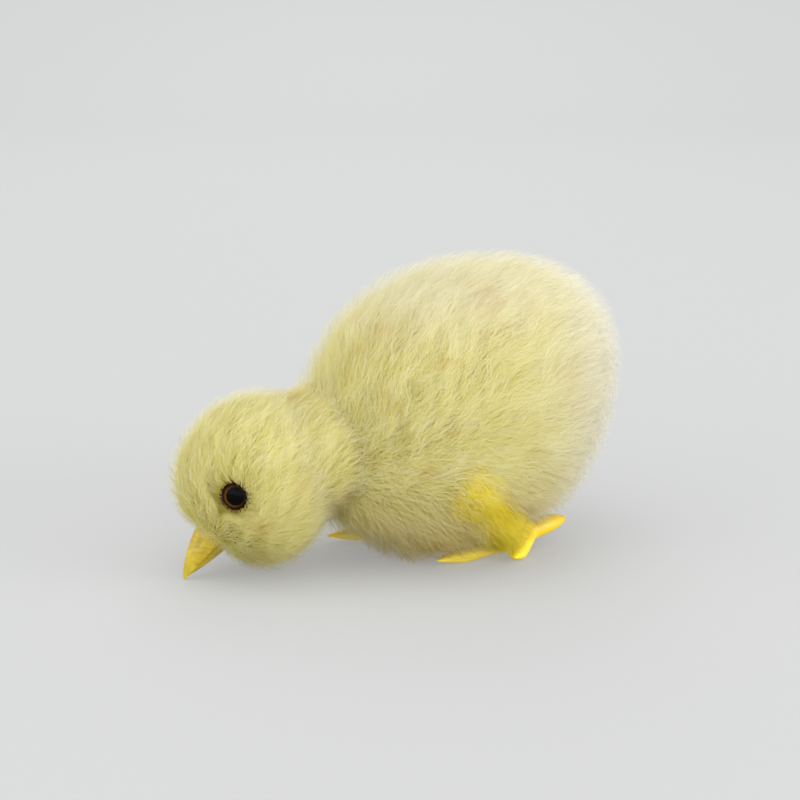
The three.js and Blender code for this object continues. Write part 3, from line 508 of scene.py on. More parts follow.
def growCoat(name, form, flowOf, coat, hiddenIn, material):
    count = coat["count"] // 1
    aims = unit(rng.normal(size=(count, 3)) * form["radii"])
    aims = unit(aims / np.sqrt(form["radii"]))
    run = coat["run"] * rng.uniform(0.72, 1.15, count)
    tip = rng.uniform(*coat["tip"], count)
    twist = rng.normal(0, coat["spread"], count)
    root = np.full(count, coat["root"])
    skin = formPoint(form, aims, root * 0)
    short = shortening(skin)
    run, root = run * short, root * (0.35 + 0.65 * short)
    tip = tip * (0.4 + 0.6 * short) + (1 - short) * shortInset(skin)
    root = root + (1 - short) * shortInset(skin)
    trimmed = breastTrim(skin)
    root, tip = root + trimmed, tip + trimmed
    points, normals = growPaths(form, aims, flowOf, run, root, tip, twist, strandSteps)
    if coat["gather"][1] > gatherLeast:
        points, nearest = gather(points, form, flowOf, coat)
    else:
        nearest = rng.integers(0, 999, count)
    points[..., 2] = np.maximum(points[..., 2], 0.35 + 0.25 * rng.random(count)[:, None])
    keep = keepClear(points)
    for other, inset in hiddenIn:
        keep &= ~inside(other, points[:, -1], inset)
    points, normals = points[keep], normals[keep]
    order = np.argsort(points[:, 0, 1])
    points, normals, tuftOf = points[order], normals[order], nearest[keep][order]
    number = len(points)
    tint = rng.random(number)
    tuft = np.random.default_rng(5).random(20000)[tuftOf]
    width = coat["width"] / 2 * rng.uniform(0.7, 1.3, number)
    chunks = np.array_split(np.arange(number), max(1, math.ceil(number / mostInPiece)))
    for i, chunk in enumerate(chunks):
        piece = ribbonMesh(
            f"{name}_{i + 1}", points[chunk], normals[chunk], width[chunk],
            tint[chunk], tuft[chunk], material)
        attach(piece, "chick")
    print(name, number, "strands in", len(chunks), "pieces")


trim = {  # the pile is cut short round the eyes and the beak's root: millimetres, and shares of its length
    "eyeReach": (2.9, 8.5),
    "eyeLeast": 0.22,
    "eyeInset": 2.4,
    "beakReach": (4.0, 14.0),
    "beakLeast": 0.2,
    "beakInset": 2.0,
    "beakInsetReach": (4.0, 12.0),
}


def awayFromEyes(skin):
    return [np.linalg.norm(skin - (eye["at"] + eye["look"]), axis=-1) for eye in eyes.values()]


# 1 in the open, less where the pile is cut
def shortening(skin):
    short = np.ones(len(skin))
    for away in awayFromEyes(skin):
        short *= trim["eyeLeast"] + (1 - trim["eyeLeast"]) * smooth(away, *trim["eyeReach"])
    away = np.linalg.norm(skin - beakBase, axis=-1)
    short *= trim["beakLeast"] + (1 - trim["beakLeast"]) * smooth(away, *trim["beakReach"])
    return short


def shortInset(skin):
    inset = np.zeros(len(skin))
    for away in awayFromEyes(skin):
        inset += trim["eyeInset"] * (1 - smooth(away, *trim["eyeReach"]))
    away = np.linalg.norm(skin - beakBase, axis=-1)
    inset += trim["beakInset"] * (1 - smooth(away, *trim["beakInsetReach"]))
    return inset


# fur materials

furLook = {
    "root": "#DDC850",
    "middle": "#EAE37A",
    "tip": "#F3EEB0",
    "tan": "#E2C560",
    # painted light: the pale colour that the rear and the top are mixed towards
    "paintedLightColour": "#F8F4E2",
    # painted shade: the deeper yellow that the belly is mixed towards
    "bellyShadeColour": "#EBCB4E",
    "tanPatch": 9.0,  # millimetres across
    # where each change of colour begins and ends, in millimetres, and how strong it gets
    # painted light: the rear and the top are mixed paler, as rim light and top light make them look
    "tail": (bodyCentreY + 2, bodyHigh[1] - 5, 0.95),
    "top": (bodyHigh[2] - 17, bodyHigh[2] - 2, 0.6),
    # painted shade: the belly is mixed darker and yellower, the shade under the body
    "belly": (27, 4, 0.55),
    "behindHead": (bodyCentreY - 32, bodyCentreY - 20, 1),
    "through": 0.5,  # share of the light that comes through a strand
}
# the down keeps the painted light, and a weaker painted shade on the belly
downLook = dict(furLook, root="#EBE296", middle="#F4EFBA", tip="#FBF9E2", belly=(27, 4, 0.3), through=0.55)


def makeFurMaterial(name, look):
    # dyed rabbit fur, brushed: matte and soft, darker and yellower at the roots, paler at the fine tips;
    # painted light makes the rear and the top paler, and painted shade makes the belly darker and yellower
    material, tree, place = newMaterial(name)
    along, tint, tuft = (
        addNode(tree, "Attribute", {"attribute_name": label}).outputs["Fac"]
        for label in ("along", "tint", "tuft"))
    ramp = addNode(tree, "ValToRGB", {}, {"Fac": along})
    setRamp(ramp, [(0.0, look["root"]), (0.5, look["middle"]), (1.0, look["tip"])])
    patches = addNode(
        tree, "TexNoise", {"Scale": 1000 / look["tanPatch"], "Detail": 2.0}, {"Vector": place})
    patchy = addNode(
        tree, "MapRange", {"From Min": 0.56, "From Max": 0.74, "To Max": 0.45}, {"Value": patches})
    axes = addNode(tree, "SeparateXYZ", {}, {"Vector": place})
    change = {}
    for key, axis, easing in (
            ("tail", "Y", "SMOOTHSTEP"), ("top", "Z", "SMOOTHSTEP"), ("belly", "Z", "SMOOTHSTEP"),
            ("behindHead", "Y", "LINEAR")):
        start, end, most = look[key]
        change[key] = addNode(
            tree, "MapRange",
            {"From Min": start * mm, "From Max": end * mm, "To Max": most, "interpolation_type": easing},
            {"Value": axes.outputs[axis]})
    # painted light on the rear and the top
    paler = addNode(tree, "Math", {"operation": "MAXIMUM"}, {0: change["tail"], 1: change["top"]})
    # painted shade on the belly, behind the head only
    yellower = addNode(
        tree, "Math", {"operation": "MULTIPLY"}, {0: change["belly"], 1: change["behindHead"]})
    colour = ramp
    for share, shade in (
            (patchy, "tan"), (yellower, "bellyShadeColour"), (paler, "paintedLightColour")):
        colour = addNode(
            tree, "Mix", {"data_type": "RGBA", 7: toLinear(look[shade])},
            {"Factor": share, 6: colour}).outputs[2]
    both = addNode(tree, "Math", {"operation": "ADD"}, {0: tint, 1: tuft})
    bright = addNode(
        tree, "MapRange", {"From Min": 0.2, "From Max": 1.8, "To Min": 0.95, "To Max": 1.03},
        {"Value": both})
    varied = addNode(tree, "VectorMath", {"operation": "SCALE"}, {0: colour, "Scale": bright})
    front = addNode(
        tree, "BsdfPrincipled", {"Roughness": 0.62, "Specular IOR Level": 0.25, "IOR": 1.55},
        {"Base Color": varied})
    back = addNode(tree, "BsdfTranslucent", {}, {"Color": varied})
    strand = addNode(tree, "MixShader", {"Fac": look["through"]}, {1: front, 2: back})
    finishMaterial(tree, strand)
    return material


def makeUnderfurMaterial(name, deep, pale):
    # woolly undercoat next to the skin: seen only as warm depth between the strands
    material, tree, place = newMaterial(name)
    wool = addNode(tree, "TexNoise", {"Scale": 1000 / 0.8, "Detail": 4.0}, {"Vector": place})
    finishSurface(
        tree, {"Roughness": 0.9, "Specular IOR Level": 0.15},
        (wool, [(0.3, deep), (0.7, pale)]), relief=(wool, 0.8, 0.3))
    return material


rabbitFur = makeFurMaterial("brushedRabbitFur", furLook)
rabbitDown = makeFurMaterial("rabbitDownTips", downLook)
underfur = makeUnderfurMaterial("woollyUnderfur", "#DFC954", "#EEE27E")
print("fur materials made")


# shared by the solid pieces


# faces between one row of corners and the next, each row a closed loop
def bridge(shape, rows):
    for a, b in zip(rows, rows[1:]):
        for k in range(len(a)):
            n = (k + 1) % len(a)
            shape.faces.new((a[k], a[n], b[n], b[k]))


def cornersOf(shape, rings):
    return [[shape.verts.new(Vector(p * mm)) for p in ring] for ring in rings]


def ringsMesh(rings):
    shape = bmesh.new()
    rows = cornersOf(shape, rings)
    bridge(shape, rows)
    shape.faces.new(rows[0])
    shape.faces.new(rows[-1])
    bmesh.ops.recalc_face_normals(shape, faces=shape.faces)
    return shape


def pieceFrom(shape, name, material, body):
    mesh = bpy.data.meshes.new(name)
    shape.to_mesh(mesh)
    shape.free()
    mesh.shade_smooth()
    mesh.materials.append(material)
    piece = bpy.data.objects.new(name, mesh)
    bpy.context.collection.objects.link(piece)
    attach(piece, body)
    return piece


# undercoats


def skinMesh(name, form, detail, insetOf):
    shell = bmesh.new()
    bmesh.ops.create_icosphere(shell, subdivisions=detail, radius=1)
    aims = unit(np.array([v.co for v in shell.verts]))
    outside = formPoint(form, aims, np.zeros(len(aims)))
    points = formPoint(form, aims, insetOf(outside))
    for vertex, point in zip(shell.verts, points):
        vertex.co = Vector(point * mm)
    return pieceFrom(shell, name, underfur, "chick")


knobWell = 2.6  # millimetres deep


def bodySkinInset(skin):
    beside = np.linalg.norm(skin[:, 1:] - knobAt[1:], axis=1)
    well = knobWell * (1 - smooth(beside, room["knob"] - 1, room["knob"] + 1.5)) * (skin[:, 0] < 0)
    return 4.6 + 0.35 * ripple(skin, 4, 8) + well + breastTrim(skin)


def headSkinInset(skin):
    return 3.0 + 0.25 * ripple(skin, 4, 10) + 1.15 * shortInset(skin)


bodySkin = skinMesh("body_underfur", bodyForm, 6, bodySkinInset)
neckSkin = skinMesh("neck_underfur", neckForm, 5, lambda p: 3.6 + 0.3 * ripple(p, 4, 9))
headSkin = skinMesh("head_underfur", headForm, 6, headSkinInset)
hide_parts("body_fur")
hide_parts("head_fur")

# each coat leaves out the strands that end inside the other forms
onBody = [(headForm, 3.0), (neckForm, 3.0)]
onNeck = [(headForm, 1.6), (bodyForm, 2.4)]
onHead = [(bodyForm, 2.0), (neckForm, 2.0)]
for part, form, flowOf, hiddenIn in (
        ("body", bodyForm, bodyFlow, onBody), ("neck", neckForm, neckFlow, onNeck),
        ("head", headForm, headFlow, onHead)):
    growCoat(f"{part}_coat", form, flowOf, coats[part], hiddenIn, rabbitFur)
    growCoat(f"{part}_down", form, flowOf, coats[part + "Down"], hiddenIn, rabbitDown)

# thighs: a short-piled pad on each flank


def thighSurface(side, share, angle, grown=0.0):
    knee, hock = thighEnds(side)
    line = hock - knee
    axis = line / np.linalg.norm(line)
    across = unit(np.cross(axis, np.array([0, 0, 1.0])))
    up = np.cross(across, axis)
    size = thigh["kneeSize"] + (thigh["hockSize"] - thigh["kneeSize"]) * np.clip(share, 0, 1)
    beyond = np.where(share > 1, (share - 1) * thigh["hockSize"], 0)
    beyond = np.where(share < 0, -share * thigh["kneeSize"], beyond)
    ringSize = np.sqrt(np.maximum(size ** 2 - beyond ** 2, 0))
    length = np.clip(share, 0, 1) * np.linalg.norm(line) + np.where(share < 0, -beyond, beyond)
    spoke = np.cos(angle)[..., None] * across + np.sin(angle)[..., None] * up
    centre = knee + np.clip(share, 0, 1)[..., None] * line
    middle = knee + length[..., None] * axis
    surface = middle + spoke * ringSize[..., None]
    normal = unit(surface - centre)
    return surface + normal * grown, normal, axis


thighPile = {  # a count, and sizes in millimetres
    "count": 28000,
    "run": 3.4,
    "root": -1.0,
    "tip": (0.1, 2.4),
    "width": 0.09,
    "skin": -0.7,
    "reach": (-1, 1.9),  # shares of the way from knee to hock
    "spread": 26,  # degrees
    "ripple": 16,
    "outward": 0.6,  # combed a little outwards, so that the parting is on the inner side
    "shankRoom": (2.2, 2.4),
    "floorGap": 0.4,
    "fill": 0.8,
}
# painted light: the thigh pile's upper end is mixed towards a paler yellow
thighLook = dict(
    furLook, root="#DDBE1C", middle="#F2DF34", tip="#F8EA60", tan="#F0D644", paintedLightColour="#F7EA64",
    top=(15, 25, 0.9), belly=(27, 4, 0), through=0.42)
dyedPile = makeFurMaterial("dyedShortPile", thighLook)
pileBacking = makeUnderfurMaterial("dyedPileBacking", "#DFB82A", "#F0D54A")


def makeThigh(side):
    sign = signOf[side]
    rows, sides = 40, 40
    shares = np.linspace(-1, 2, rows)
    angles = np.linspace(0, 2 * math.pi, sides, endpoint=False)
    grid, _, _ = thighSurface(side, np.repeat(shares, sides), np.tile(angles, rows), thighPile["skin"])
    pad = bmesh.new()
    bridge(pad, cornersOf(pad, grid.reshape(rows, sides, 3)))
    bmesh.ops.remove_doubles(pad, verts=pad.verts, dist=0.02 * mm)
    bmesh.ops.recalc_face_normals(pad, faces=pad.faces)
    piece = pieceFrom(pad, f"thigh_{side}", pileBacking, "chick")
    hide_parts(f"thigh_patch_{side}")

    count = thighPile["count"] // 1
    share = rng.uniform(*thighPile["reach"], count)
    angle = rng.uniform(0, 2 * math.pi, count)
    start, normal, axis = thighSurface(side, share, angle, thighPile["root"])
    twist = rng.normal(0, thighPile["spread"], count) + thighPile["ripple"] * ripple(start, 6, 21)
    twist = np.radians(twist)[:, None]
    combed = unit(axis + np.array([sign * thighPile["outward"], 0, 0]))
    lie = unit(combed - (combed * normal).sum(-1, keepdims=True) * normal + 1e-6)
    lie = lie * np.cos(twist) + np.cross(normal, lie) * np.sin(twist)
    run = thighPile["run"] * rng.uniform(0.7, 1.2, count)
    lift = rng.uniform(*thighPile["tip"], count) - thighPile["root"]
    points, normals = [], []
    for t in np.linspace(0, 1, strandSteps + 1):
        points.append(start + lie * (run * t)[:, None] + normal * (lift * (1 - (1 - t) ** 1.7))[:, None])
        normals.append(normal)
    points, normals = np.stack(points, 1), np.stack(normals, 1)
    points[..., 2] = np.maximum(points[..., 2], thighPile["floorGap"])
    legTop = np.array([ankles[side][0], ankles[side][1] - sign * stand["hipBack"], stand["hipUp"]])
    gap, _ = alongTaper(points, legTop, ankles[side], *thighPile["shankRoom"])
    keep = (gap > 0).all(1)
    width = thighPile["width"] / 2 * rng.uniform(0.7, 1.3, count)
    tint, tuft = rng.random(count), rng.random(count)
    coat = ribbonMesh(
        f"thigh_pile_{side}", points[keep], normals[keep], width[keep], tint[keep], tuft[keep], dyedPile)
    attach(coat, "chick")


for side in signOf:
    makeThigh(side)
print("thighs made")

# beak

beak = {  # millimetres, along the beak from the head's centre
    "root": 9.9,
    "tip": 26.5,
    "width": 9.4,
    "upperDepth": 5.4,
    "lowerDepth": 3.7,
    "nostrilAt": 0.53,  # share of the way to the tip
    "nostrilAngle": 52,  # degrees up from the mouth's line
    "nostrilSize": 0.75,
    "nostrilDepth": 0.55,
    "nostrilSpan": 9,  # degrees
    "ridge": 0.1,  # share by which the upper ridge stands up
    "lip": 0.16,  # a rolled edge along the mouth
    "lipSpan": 0.12,  # radians
    "mouthGap": 0.1,
    "tipGap": 0.35,
    "upperDrop": 0.7,
    "lowerDrop": 0.5,
    "lowerShort": 1.1,
    "lowerWidth": 0.92,  # share of the upper half's width
}
beakPitch = math.asin((headCentre[2] - beak["tipGap"]) / beak["tip"])


def headPoint(x, y, z):
    c, s = math.cos(beakPitch), math.sin(beakPitch)
    return headCentre + np.array([x, y * c - z * s, y * s + z * c])


def makeHornMaterial():
    # moulded vinyl painted as horn: satin, faint streaks that run to the tip
    material, tree, place = newMaterial("paintedHornVinyl")
    turned = addNode(
        tree, "Mapping",
        {"Rotation": (-beakPitch, 0, 0), "Scale": (1000 / 0.7, 1000 / 6, 1000 / 0.7)}, {"Vector": place})
    streaks = addNode(tree, "TexNoise", {"Scale": 1.0, "Detail": 4.0}, {"Vector": turned})
    blotches = addNode(tree, "TexNoise", {"Scale": 1000 / 3.5, "Detail": 3.0}, {"Vector": place})
    both = addNode(tree, "Math", {"operation": "ADD"}, {0: streaks, 1: blotches})
    tone = addNode(tree, "MapRange", {"From Min": 0.55, "From Max": 1.45}, {"Value": both})
    finishSurface(
        tree, {"IOR": 1.5, "Subsurface Weight": 0.15, "Subsurface Radius": (0.0012, 0.0008, 0.0003)},
        (tone, [(0.05, "#8E740A"), (0.5, "#AE9614"), (0.95, "#C4B02A")]),
        (blotches, 0.34, 0.5), (streaks, 0.35, 0.08))
    return material


hornVinyl = makeHornMaterial()


def makeBeakHalf(name, node, sign, depth, width, tipDrop, tip):
    shares = 1 - (1 - np.linspace(0, 0.988, 44)) ** 1.15
    count = 30
    length = tip - beak["root"]
    nostrils = (beak["nostrilAngle"], 180 - beak["nostrilAngle"]) if sign > 0 else ()
    rings = []
    for share in shares:
        taper = (1 - share ** 1.45) ** 0.86
        mouth = sign * beak["mouthGap"] - tipDrop * share ** 2.4
        rise = depth * taper ** (0.8 if sign > 0 else 1.0)
        ring = []
        for k in range(count + 1):
            angle = math.pi * k / count
            ridge = 1 + beak["ridge"] * math.sin(angle) ** 8
            side = width / 2 * taper * math.cos(angle)
            up = rise * ridge * math.sin(angle) ** 0.9
            for nostril in nostrils:
                away = math.hypot(
                    (math.degrees(angle) - nostril) / beak["nostrilSpan"],
                    (share - beak["nostrilAt"]) * length / beak["nostrilSize"])
                dent = beak["nostrilDepth"] * math.exp(-away ** 2)
                side -= dent * math.cos(angle) * 0.8
                up -= dent * math.sin(angle)
            lip = beak["lip"] * math.exp(-(min(angle, math.pi - angle) / beak["lipSpan"]) ** 2)
            side += lip * math.copysign(1, math.cos(angle)) * taper
            ring.append(headPoint(side, -(beak["root"] + share * length), mouth + sign * up))
        rings.append(np.array(ring))
    piece = pieceFrom(ringsMesh(rings), name, hornVinyl, "chick")
    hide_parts(node)


makeBeakHalf(
    "beak_upper_horn", "beak_upper", 1, beak["upperDepth"], beak["width"], beak["upperDrop"], beak["tip"])
makeBeakHalf(
    "beak_lower_horn", "beak_lower", -1, beak["lowerDepth"], beak["width"] * beak["lowerWidth"],
    beak["lowerDrop"], beak["tip"] - beak["lowerShort"])

# eyes

eye = {  # millimetres
    "radius": 3.0,
    "rise": 1.6,
    "pupilRadius": 1.95,
    "pupilShift": 0.5,  # towards the tail
    "lidWidth": 0.42,
    "sunk": 0.6,
    "drawn": 0.45,  # radius of the drawn iris and pupil, as a share of their square
    "irisInner": "#5A3A1A",
    "iris": "#38220E",
    "irisEdge": "#180C05",
    "pupil": "#050404",
}


def makeEyeMaterial(side):
    # cast acrylic safety eye: a black pupil and an amber ring with fine spokes under one glossy clear dome
    material, tree, _ = newMaterial(f"acrylicEye_{side}")
    uv = addNode(tree, "UVMap", {"uv_map": "OFBake"}).outputs["UV"]
    parts = addNode(tree, "SeparateXYZ", {}, {"Vector": uv})
    centred = []
    for axis in ("X", "Y"):
        offset = addNode(tree, "Math", {"operation": "SUBTRACT", 1: 0.5}, {0: parts.outputs[axis]})
        centred.append(offset)
    spot = addNode(tree, "CombineXYZ", {}, {0: centred[0], 1: centred[1]})
    outward = addNode(
        tree, "VectorMath", {"operation": "LENGTH"}, {0: spot}).outputs["Value"]
    shift = eye["drawn"] * eye["pupilShift"] / eye["radius"]
    shifted = addNode(tree, "VectorMath", {"operation": "SUBTRACT", 1: (shift, 0, 0)}, {0: spot})
    pupilOut = addNode(
        tree, "VectorMath", {"operation": "LENGTH"}, {0: shifted}).outputs["Value"]
    turn = addNode(tree, "Math", {"operation": "ARCTAN2"}, {0: centred[0], 1: centred[1]})
    spokes = addNode(
        tree, "TexNoise", {"noise_dimensions": "2D", "Scale": 9.0, "Detail": 3.0},
        {"Vector": addNode(tree, "CombineXYZ", {}, {0: turn, 1: outward})})
    ring = addNode(tree, "ValToRGB", {}, {"Fac": outward})
    setRamp(ring, [(0.27, eye["irisInner"]), (0.34, eye["iris"]), (0.41, eye["irisEdge"])])
    lively = addNode(tree, "MapRange", {"To Min": 0.45, "To Max": 1.3}, {"Value": spokes})
    iris = addNode(tree, "VectorMath", {"operation": "SCALE"}, {0: ring, "Scale": lively})
    pupilSize = eye["drawn"] * eye["pupilRadius"] / eye["radius"]
    edge = addNode(
        tree, "MapRange", {"From Min": pupilSize - 0.008, "From Max": pupilSize + 0.008},
        {"Value": pupilOut})
    colour = addNode(
        tree, "Mix", {"data_type": "RGBA", 6: toLinear(eye["pupil"])}, {"Factor": edge, 7: iris})
    shader = addNode(
        tree, "BsdfPrincipled",
        {"Roughness": 0.3, "IOR": 1.49, "Specular IOR Level": 0.02, "Coat Weight": 0.05,
         "Coat Roughness": 0.02, "Coat IOR": 1.49},
        {"Base Color": colour.outputs[2]})
    finishMaterial(tree, shader)
    return material


def makeLidMaterial():
    # black-brown rubber rim that holds the eye in the fur: dull, slightly creased
    material, tree, place = newMaterial("rubberEyeRim")
    creases = addNode(tree, "TexNoise", {"Scale": 1000 / 0.5, "Detail": 3.0}, {"Vector": place})
    finishSurface(
        tree, {"Roughness": 0.55}, (creases, [(0.3, "#1C110A"), (0.75, "#5A4022")]),
        relief=(creases, 0.5, 0.1))
    return material


eyeRim = makeLidMaterial()


def makeEye(side):
    look = eyes[side]["look"]
    seat = eyes[side]["at"] - look * eye["sunk"]
    rear = unit(np.cross(np.cross(look, np.array([0, 1.0, 0.35])), look))
    up = np.cross(look, rear) * eyes[side]["sign"]
    count = 48
    angles = np.linspace(0, 2 * math.pi, count, endpoint=False)
    spokes = np.cos(angles)[:, None] * rear + np.sin(angles)[:, None] * up
    dome = bmesh.new()
    layer = dome.loops.layers.uv.new("OFBake")
    place = {}
    rows = []
    for k in range(14):
        lean = math.pi / 2 * k / 14
        r = eye["radius"] * math.cos(lean)
        row = []
        for angle, spoke in zip(angles, spokes):
            vertex = dome.verts.new(Vector((seat + spoke * r + look * eye["rise"] * math.sin(lean)) * mm))
            out = eye["drawn"] * math.cos(lean)
            place[vertex] = (0.5 + out * math.cos(angle), 0.5 + out * math.sin(angle))
            row.append(vertex)
        rows.append(row)
    crown = dome.verts.new(Vector((seat + look * eye["rise"]) * mm))
    place[crown] = (0.5, 0.5)
    bridge(dome, rows)
    for k in range(count):
        dome.faces.new((rows[-1][k], rows[-1][(k + 1) % count], crown))
    dome.faces.new(rows[0])
    bmesh.ops.recalc_face_normals(dome, faces=dome.faces)
    for face in dome.faces:
        for loop in face.loops:
            loop[layer].uv = place[loop.vert]
    ball = pieceFrom(dome, f"eye_ball_{side}", makeEyeMaterial(side), "chick")
    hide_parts(f"eye_dome_{side}", f"iris_{side}", f"pupil_{side}")
    rim = bmesh.new()
    rings = []
    for angle, spoke in zip(angles, spokes):
        swell = eye["lidWidth"] * (1 + 0.15 * math.sin(3 * angle) + 0.35 * max(0, -math.cos(angle)))
        middle = seat + spoke * (eye["radius"] + 0.1)
        rings.append([
            middle + (spoke * math.cos(b) + look * math.sin(b)) * swell
            for b in np.linspace(0, 2 * math.pi, 12, endpoint=False)])
    corners = cornersOf(rim, rings)
    bridge(rim, corners + corners[:1])
    bmesh.ops.recalc_face_normals(rim, faces=rim.faces)
    lid = pieceFrom(rim, f"eye_rim_{side}", eyeRim, "chick")
    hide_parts(f"eye_cup_{side}")


for side in signOf:
    makeEye(side)
print("beak and eyes made")

# feet

foot = {  # millimetres
    "thick": 4.4,
    "wide": 5.0,
    "padPress": 0.4,
    "shank": 3.5,
    "hipInward": 0.4,
    "scutes": 1.35,  # from one scale to the next along a toe
    "voxel": 0.2,
}


def makeVinylMaterial():
    # soft moulded vinyl, dyed through and hand-tinted: satin and a little blotchy; painted shade makes it
    # darker and more olive higher up, towards the ankles and the shanks under the body, and paler near the
    # floor
    material, tree, place = newMaterial("softVinylPaintedShade")
    blotches = addNode(tree, "TexNoise", {"Scale": 1000 / 4, "Detail": 4.0}, {"Vector": place})
    axes = addNode(tree, "SeparateXYZ", {}, {"Vector": place})
    # painted shade: darker higher up, where the feet go in under the body
    height = addNode(
        tree, "MapRange", {"From Min": 9 * mm, "From Max": 2.5 * mm}, {"Value": axes.outputs["Z"]})
    both = addNode(tree, "Math", {"operation": "MULTIPLY_ADD", 1: 0.55}, {0: height, 2: blotches})
    grain = addNode(tree, "TexVoronoi", {"Scale": 1000 / 0.55}, {"Vector": place})
    finishSurface(
        tree, {"IOR": 1.5, "Subsurface Weight": 0.12, "Subsurface Radius": (0.0015, 0.001, 0.0003)},
        (both, [(0.35, "#BA9006"), (0.7, "#DAB80E"), (1.0, "#ECD224")]),
        (blotches, 0.36, 0.5), (grain, 0.3, 0.08))
    return material


softVinyl = makeVinylMaterial()


def toeRings(toe):
    side = np.cross(toe["heading"], np.array([0, 0, 1.0]))
    rings = []
    rows = 40
    hind = toe["name"] == "hind"
    for k in range(rows):
        share = k / (rows - 1)
        reach = toe["length"] * share
        slim = 1.0 - 0.3 * share ** 2
        leaf = smooth(share, 0.62, 0.86) * (1 - share) ** 0.6
        close = 1 - 0.93 * max(0.0, (share - 0.7) / 0.3) ** 2.1
        wide = (foot["wide"] / 2 * slim * (1 - 0.25 * leaf) + 0.55 * leaf) * close
        tall = foot["thick"] / 2 * slim * (1 - 0.34 * smooth(share, 0.5, 0.95)) * close
        ridge = 0.1 * max(0.0, math.sin(2 * math.pi * reach / foot["scutes"])) * (1 - share) * (share > 0.12)
        if hind:
            height = stand["ankleUp"] + (stand["hindTipUp"] - stand["ankleUp"]) * share
        else:
            pad = foot["thick"] / 2 - foot["padPress"]
            height = stand["ankleUp"] + (pad - stand["ankleUp"]) * min(1, share / 0.72)
            height = max(tall * 0.98, height - (1 - slim) * 1.2 * smooth(share, 0.45, 1.0))
        centre = ankles[toe["side"]] + toe["heading"] * reach
        ring = []
        for angle in np.linspace(0, 2 * math.pi, 20, endpoint=False):
            crest = ridge * max(0.0, math.sin(angle)) ** 0.5
            p = centre + side * math.cos(angle) * wide
            p[2] = max(0.02, height + (tall + crest) * math.sin(angle))
            ring.append(p)
        rings.append(np.array(ring))
    return rings


def makeFoot(side):
    sign = signOf[side]
    whole = bmesh.new()
    x, y, _ = ankles[side]
    hip = np.array([x - sign * foot["hipInward"], y - sign * stand["hipBack"], stand["hipUp"]])
    lines = [toeRings(dict(toe, side=side)) for toe in toesOf(side)]
    shankRings = []
    down = ankles[side] - hip
    axis = down / np.linalg.norm(down)
    across = unit(np.cross(axis, np.array([1.0, 0, 0])))
    outward = np.cross(across, axis)
    for k in range(20):
        share = k / 19
        size = foot["shank"] / 2 * (1 + 0.16 * share)
        centre = hip + down * share
        shankRings.append(np.array([
            centre + (across * math.cos(a) + outward * math.sin(a)) * size
            for a in np.linspace(0, 2 * math.pi, 20, endpoint=False)]))
    for rings in lines + [shankRings]:
        part = ringsMesh(rings)
        copy = bpy.data.meshes.new("part")
        part.to_mesh(copy)
        part.free()
        whole.from_mesh(copy)
        bpy.data.meshes.remove(copy)
    piece = pieceFrom(whole, f"foot_{side}", softVinyl, "legs")
    remesh = piece.modifiers.new("join", "REMESH")
    remesh.mode = "VOXEL"
    remesh.voxel_size = foot["voxel"] * mm
    remesh.use_smooth_shade = True
    soften = piece.modifiers.new("soften", "SMOOTH")
    soften.factor = 0.5
    soften.iterations = 3
    bpy.context.view_layer.update()
    baked = bpy.data.meshes.new_from_object(piece.evaluated_get(bpy.context.evaluated_depsgraph_get()))
    piece.modifiers.clear()
    piece.data = baked
    baked.shade_smooth()
    spots = np.empty(len(baked.vertices) * 3, np.float32)
    baked.vertices.foreach_get("co", spots)
    spots = spots.reshape(-1, 3)
    lift = spots[:, 2].min()  # the soles come back down to the floor
    pad = foot["thick"] / 2 * mm
    spots[:, 2] -= lift * np.clip(1 - spots[:, 2] / pad, 0, 1) / (1 - lift / pad)
    baked.vertices.foreach_set("co", spots.ravel())
    baked.update()
    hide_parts(f"leg_{side}")


for side in signOf:
    makeFoot(side)
print("feet made")

# the clockwork and the casings keep their shapes


def makeMoulded(name, colour, shade, roughness, grainSize):
    # injection-moulded plastic: even colour, a fine spark-eroded grain, slightly uneven gloss
    material, tree, place = newMaterial(name)
    grain = addNode(tree, "TexNoise", {"Scale": 1000 / grainSize, "Detail": 4.0}, {"Vector": place})
    cloud = addNode(tree, "TexNoise", {"Scale": 1000 / 12, "Detail": 2.0}, {"Vector": place})
    finishSurface(
        tree, {"IOR": 1.5}, (cloud, [(0.35, shade), (0.65, colour)]),
        (cloud, roughness - 0.06, roughness + 0.08), (grain, 0.25, 0.03))
    return material


def makeMetal(name, colour, shade, roughness, lineSize):
    # drawn or stamped steel: faint parallel lines from the die, a little darker where oil has stayed
    material, tree, place = newMaterial(name)
    stretched = addNode(
        tree, "Mapping", {"Scale": (1000 / (lineSize * 12), 1000 / lineSize, 1000 / lineSize)},
        {"Vector": place})
    lines = addNode(tree, "TexNoise", {"Scale": 1.0, "Detail": 3.0}, {"Vector": stretched})
    finishSurface(
        tree, {"Metallic": 1.0}, (lines, [(0.3, shade), (0.7, colour)]),
        (lines, roughness - 0.08, roughness + 0.1))
    return material


finishes = {
    "casing": makeMoulded("mouldedCasingABS", "#F1EBD2", "#E8E0C2", 0.5, 0.25),
    "frame": makeMoulded("mouldedFrameAcetal", "#DDDFE2", "#D2D5D9", 0.42, 0.2),
    "gear": makeMoulded("mouldedGearAcetal", "#F4F1E6", "#EAE6D8", 0.38, 0.2),
    "knob": makeMoulded("mouldedKnobABS", "#E9CF3C", "#DDBF2C", 0.36, 0.25),
    "steel": makeMetal("drawnSteel", "#B4B7BA", "#8E9296", 0.32, 0.15),
    "springSteel": makeMetal("bluedSpringSteel", "#56616E", "#353C45", 0.28, 0.15),
}
finishOf = {
    "casing": ["body_shell_left", "body_shell_right", "head_shell_left", "head_shell_right", "neck_tube"],
    "frame": ["motor_plate_left", "motor_plate_right"],
    "gear": ["great_wheel", "second_wheel", "crank_wheel", "rocker"],
    "knob": ["winding_knob"],
    "springSteel": ["mainspring", "click"],
}
